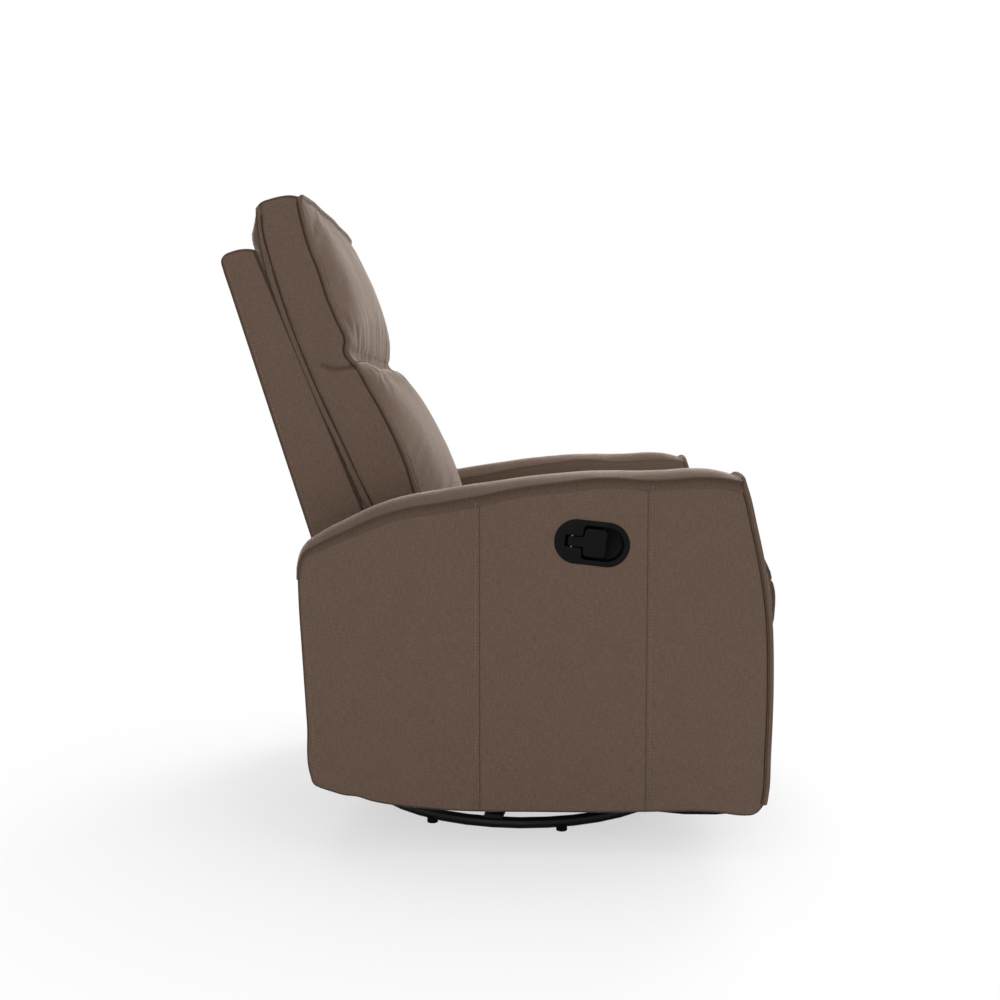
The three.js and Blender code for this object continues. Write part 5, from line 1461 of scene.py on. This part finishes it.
PAD_CROWN, STRIP_ROOM = 7.5, 2
across_board = np.r_[0, np.linspace(0.08, 0.92, 7), 1]
footrest_low = pad_low + np.array([0, STRIP_ROOM, STRIP_ROOM])
footrest_high = pad_high - np.array([PAD_CROWN, STRIP_ROOM, STRIP_ROOM])
points, sheets, crease, _ = slab(
    board_edges(footrest_low, footrest_high, 8), pad_low[0], footrest_high[0], across_board, 6.0, 4.0,
    flat_swell, pad_panel,
)
footrest_pad = new_object("footrest_pad_cover", in_frame(points, (1, 2, 0)), sheets, crease, "footrest", FABRIC)
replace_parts(footrest_pad, "footrest_pad")


def pad_sewn(places):
    """The footrest pad stays still at its outline and on its board."""
    upright = np.minimum(places[:, 2] - pad_low[2], pad_high[2] - places[:, 2])
    edge = np.minimum(pad_high[1] - np.abs(places[:, 1]), upright)
    return (edge < 8) | (places[:, 0] < footrest_high[0] - 7)


stuffed(footrest_pad, pad_sewn, pressure=4.0, voxel=0.006, cap=8.0, slack=0.004)
print("footrest pad:", len(footrest_pad.data.polygons), "faces")


# %% Rear rail
rail_low, rail_high = node_box("rear_rail")


def rail_panel(a, b, d, side):
    """A covered board: 1.2 mm of wadding on the outside, flat inside."""
    return (1.2 * (1 - np.exp(-d / 12)) + 0.2 * ripple(a, b, 61, 120)) * (side < 0), np.zeros(len(a))


points, sheets, crease, _ = slab(
    board_edges(rail_low, rail_high, 10), rail_low[0] + 1.2, rail_high[0], across_board, 2.4, 1.6,
    lambda loop, normal, c, s: np.zeros((len(s), len(loop))), rail_panel,
)
rear_rail = new_object("rear_rail_cover", in_frame(points, (1, 2, 0)), sheets, crease, "carriage", FABRIC)
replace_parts(rear_rail, "rear_rail")
print("rear rail:", len(rear_rail.data.polygons), "faces")


# %% [markdown]
# ## Steel and plastic parts
# The swivel base, links, plates, springs and boards keep their exact shapes from the frame. Each
# gets a merged copy whose flat faces stay flat, curved faces shade smoothly, and sharp edges carry a
# small bevel that catches the light, as a coated or moulded edge does.


# %% Copies with bevelled edges
SLOT_OF = {part["node"]: part["material_slot"] for part in frame["record"]["subparts"]}
BEVEL = {"black_steel": 0.5, "zinc_steel": 0.3, "spring_steel": 0.2, "wood": 1.2, "black_plastic": 0.7}
SHARP, MOULDING_SHARP = math.radians(32), math.radians(40)


def bevelled_copy(node):
    """A merged copy of a frame node with smooth shading, sharp edges marked and bevelled."""
    source = frame["nodes"][node]
    piece = linked(f"{node}_finish", source.data.copy())
    piece.matrix_world = source.matrix_world
    close_up(piece, 2e-6)
    sharpened(piece.data, SHARP)
    slot = SLOT_OF[node]
    bevel = piece.modifiers.new("edge", "BEVEL")
    bevel.width = BEVEL[slot] * MM
    bevel.segments = 2
    bevel.limit_method = "ANGLE"
    bevel.angle_limit = SHARP
    bevel.harden_normals = True
    return dress(piece, body_of[node], MATERIALS[slot])


body_of = {node: body for body, nodes in frame["record"]["behaviour"]["bodies"].items() for node in nodes}
own_shape = {node for node, slot in SLOT_OF.items() if slot == "fabric"} | {"handle_bezel", "handle_paddle"}
hard = [node for node in SLOT_OF if node not in own_shape]
for node in hard:
    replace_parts(bevelled_copy(node), node)
print("hard parts:", len(hard), "of", len(SLOT_OF))


# %% [markdown]
# ## Release handle
# The handle is two mouldings: an oval bezel with a deep finger cup, and a paddle on a pin that swings
# out of it. Both are turned from outlines. An outline here is the place where a distance function
# changes sign, so that the cup and the slot for the paddle's stem run together in a soft fillet.


# %% Outlines by distance
def box_distance(points, low, high, radius):
    """Distance from a rectangle with rounded corners: |max(q, 0)| + min(max(qx, qy), 0) - r."""
    middle, half = (np.array(low) + high) / 2, (np.array(high) - low) / 2 - radius
    q = np.abs(points - middle) - half
    return np.linalg.norm(np.maximum(q, 0), axis=-1) + np.minimum(q.max(axis=-1), 0) - radius


def joined(first, second, fillet):
    """The smaller of two distances, eased where they are close: min(a, b) - h^2 fillet / 4."""
    h = np.maximum(fillet - np.abs(first - second), 0) / fillet
    return np.minimum(first, second) - h * h * fillet / 4


def reach_of(distance, angles, furthest=60.0, steps=1500):
    """How far an outline lies from the middle at each angle, where its distance first turns positive."""
    radius = np.linspace(0, furthest, steps)
    places = radius[:, None, None] * np.stack([np.cos(angles), np.sin(angles)], -1)[None]
    value = distance(places)
    first = np.argmax(value > 0, axis=0)
    column = np.arange(len(angles))
    before, after = value[first - 1, column], value[first, column]
    return radius[first - 1] + (radius[first] - radius[first - 1]) * (-before / (after - before))


def bezel_outline(p):
    """The bezel's oval rim, 33.5 mm in radius with 46 mm straights."""
    return box_distance(p, (-56.5, -33.5), (56.5, 33.5), 33.49)


def cup_outline(p):
    """The finger cup and the slot behind it for the paddle's stem."""
    cup = np.where(
        p[..., 0] < 22, box_distance(p, (-14.5, -25.5), (40, 25.5), 6.0), np.hypot(p[..., 0] - 22, p[..., 1]) - 25.5
    )
    return joined(cup, box_distance(p, (-40.5, -8.8), (0, 8.8), 1.5), 5.0)


def paddle_outline(p):
    """The paddle's blade with its bowed free end, and its stem."""
    blade = box_distance(p, (-12.6, -21.6), (21.5, 21.6), 7.0)
    bowed = np.hypot(p[..., 0] + 38, p[..., 1]) - 62.0
    blade = np.maximum(blade, bowed)
    return joined(blade, box_distance(p, (-36.5, -7.6), (0, 7.6), 2.0), 4.0)


def turned_moulding(node, rings):
    """A closed moulding from rings of (reach at each angle, y), on the handle's tilted axes."""
    name = f"{node}_moulding"
    angles = np.arange(len(rings[0][0])) * math.tau / len(rings[0][0])
    flat = [on_handle(np.column_stack([reach * np.cos(angles), reach * np.sin(angles)])) for reach, _ in rings]
    points = np.concatenate([standing(outline, y) for outline, (_, y) in zip(flat, rings)])
    hubs = np.array([[HANDLE_CENTRE[0], rings[k][1], HANDLE_CENTRE[1]] for k in (0, -1)])
    count, each = len(rings), len(angles)
    quads = grid_quads(count, each, wrap=True).tolist()
    fans = []
    for hub, start in ((count * each, 0), (count * each + 1, (count - 1) * each)):
        ring = start + np.arange(each)
        fans += np.column_stack([ring, np.roll(ring, -1), np.full(each, hub)]).tolist()
    piece = meshed(name, np.concatenate([points, hubs]), quads + fans)
    close_up(piece)
    sharpened(piece.data, MOULDING_SHARP)
    dress(piece, body_of[node], MATERIALS["black_plastic"])
    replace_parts(piece, node)


# %% Bezel and paddle
turns = np.arange(288) * math.tau / 288
rim = reach_of(bezel_outline, turns, 70.0)
cup = reach_of(cup_outline, turns)
blade = reach_of(paddle_outline, turns)
FACE = -384.0
bezel_rings = [
    (cup * 0 + 8, -354.0), (cup + 1.6, -354.0), (cup + 2.6, -355.0), (cup + 2.6, -380.3), (rim - 0.6, -380.3),
    (rim, -380.9), (rim, -382.4), (rim - 0.3, -383.2), (rim - 0.9, -383.8), (rim - 1.7, FACE), (cup + 1.7, FACE),
    (cup + 0.9, FACE + 0.15), (cup + 0.3, FACE + 0.7), (cup, FACE + 1.5), (cup, -360.5), (cup - 0.6, -358.8),
    (cup - 2.2, -358.0), (cup * 0 + 5, -358.0),
]
turned_moulding("handle_bezel", bezel_rings)
paddle_rings = [
    (blade * 0 + 4, -373.6), (blade - 1.6, -373.6), (blade - 0.5, -374.1), (blade, -375.2), (blade, -380.9),
    (blade - 0.3, -381.8), (blade - 1.0, -382.4), (blade - 1.9, -382.6), (np.maximum(blade - 6, 3.5), -382.5),
    (blade * 0 + 3, -382.3),
]
turned_moulding("handle_paddle", paddle_rings)
print("bezel", round(float(rim.max() * 2), 1), "mm long; cup", round(float(cup[0] + cup[144]), 1), "mm")


# %% [markdown]
# ## Floor, light and camera
# The background is white. A large soft lamp stands low beyond the chair and ahead of it, with weak
# fill from the camera's side, from ahead and from above. A pale floor catches the shadow. The world
# is at full strength for camera, mirror and glass rays and at half strength for all others.


# %% Floor
reach = 14.0
corners = [(reach * x, reach * y, 0) for x, y in ((-1, -1), (1, -1), (1, 1), (-1, 1))]
floor_mesh = bpy.data.meshes.new("floor")
floor_mesh.from_pydata(corners, [], [(0, 1, 2, 3)])
floor = linked("floor", floor_mesh)
floor_finish = bpy.data.materials.new("pale_floor")
floor_finish.use_nodes = True
floor_tree = floor_finish.node_tree
floor_shader = floor_tree.nodes["Principled BSDF"]
floor_shader.inputs["Base Color"].default_value = (0.93, 0.93, 0.93, 1)
floor_shader.inputs["Roughness"].default_value = 0.8
floor_shader.inputs["Specular IOR Level"].default_value = 0.1
glow = floor_tree.nodes.new("ShaderNodeEmission")
glow.inputs["Color"].default_value = (1, 1, 1, 1)
glow.inputs["Strength"].default_value = 1.0
seen = floor_tree.nodes.new("ShaderNodeLightPath")
place = floor_tree.nodes.new("ShaderNodeTexCoord")
away = floor_tree.nodes.new("ShaderNodeVectorMath")
away.operation = "LENGTH"
floor_tree.links.new(place.outputs["Object"], away.inputs[0])
fade = spread(floor_tree, away.outputs["Value"], 0.45, 1.1, 0.6, 1.0)
white = maths(floor_tree, "MULTIPLY", fade, seen.outputs["Is Camera Ray"])
both = floor_tree.nodes.new("ShaderNodeMixShader")
floor_tree.links.new(white, both.inputs[0])
floor_tree.links.new(floor_shader.outputs[0], both.inputs[1])
floor_tree.links.new(glow.outputs[0], both.inputs[2])
floor_tree.links.new(both.outputs[0], floor_tree.nodes["Material Output"].inputs["Surface"])
floor.data.materials.append(floor_finish)
print("floor:", 2 * reach, "m square")


# %% World and lamps
world = bpy.data.worlds.new("studio")
bpy.context.scene.world = world
world.use_nodes = True
tree = world.node_tree
surround = tree.nodes["Background"]
path = tree.nodes.new("ShaderNodeLightPath")
seen = maths(tree, "MAXIMUM", path.outputs["Is Camera Ray"], path.outputs["Is Glossy Ray"])
seen = maths(tree, "MAXIMUM", seen, path.outputs["Is Transmission Ray"])
surround.inputs["Color"].default_value = (1, 1, 1, 1)
tree.links.new(spread(tree, seen, 0.0, 1.0, 0.5, 1.0), surround.inputs["Strength"])


def soft_lamp(name, place, target, size, power):
    """A square area lamp at a place, turned to face a target, all in metres."""
    data = bpy.data.lights.new(name, "AREA")
    data.size = size
    data.energy = power
    lamp = linked(name, data)
    lamp.location = place
    lamp.rotation_euler = (Vector(target) - Vector(place)).to_track_quat("-Z", "Y").to_euler()


soft_lamp("key", (2.0, 3.1, 1.15), (0, 0, 0.75), 1.6, 172)
soft_lamp("fill", (-0.9, -3.1, 1.5), (0, 0, 0.5), 2.4, 29)
soft_lamp("front", (3.0, -1.6, 1.2), (0, 0, 0.5), 1.6, 14)
soft_lamp("top", (-0.3, 0.4, 3.1), (0, 0, 0.5), 2.2, 28)
soft_lamp("bounce", (0.22, -0.18, 0.86), (0.2, 0.27, 0.5), 0.35, 0.6)
print("lamps:", [lamp.name for lamp in bpy.data.lights])


# %% Camera
CAMERA_PLACE, CAMERA_PITCH, CAMERA_YAW = np.array([15.1, -2087.9, 681.2]), 0.080, 0.026
camera_data = bpy.data.cameras.new("photo")
camera_data.sensor_width = 36.0
camera_data.lens = 41.4
camera = linked("photo", camera_data)
camera.location = Vector(CAMERA_PLACE * MM + ORIGIN)
level = math.cos(CAMERA_PITCH)
look = Vector((-math.sin(CAMERA_YAW) * level, math.cos(CAMERA_YAW) * level, -math.sin(CAMERA_PITCH)))
camera.rotation_euler = look.to_track_quat("-Z", "Y").to_euler()
bpy.context.scene.camera = camera
bpy.context.scene.view_settings.view_transform = "Standard"
print("camera at", [round(v, 3) for v in camera.location])
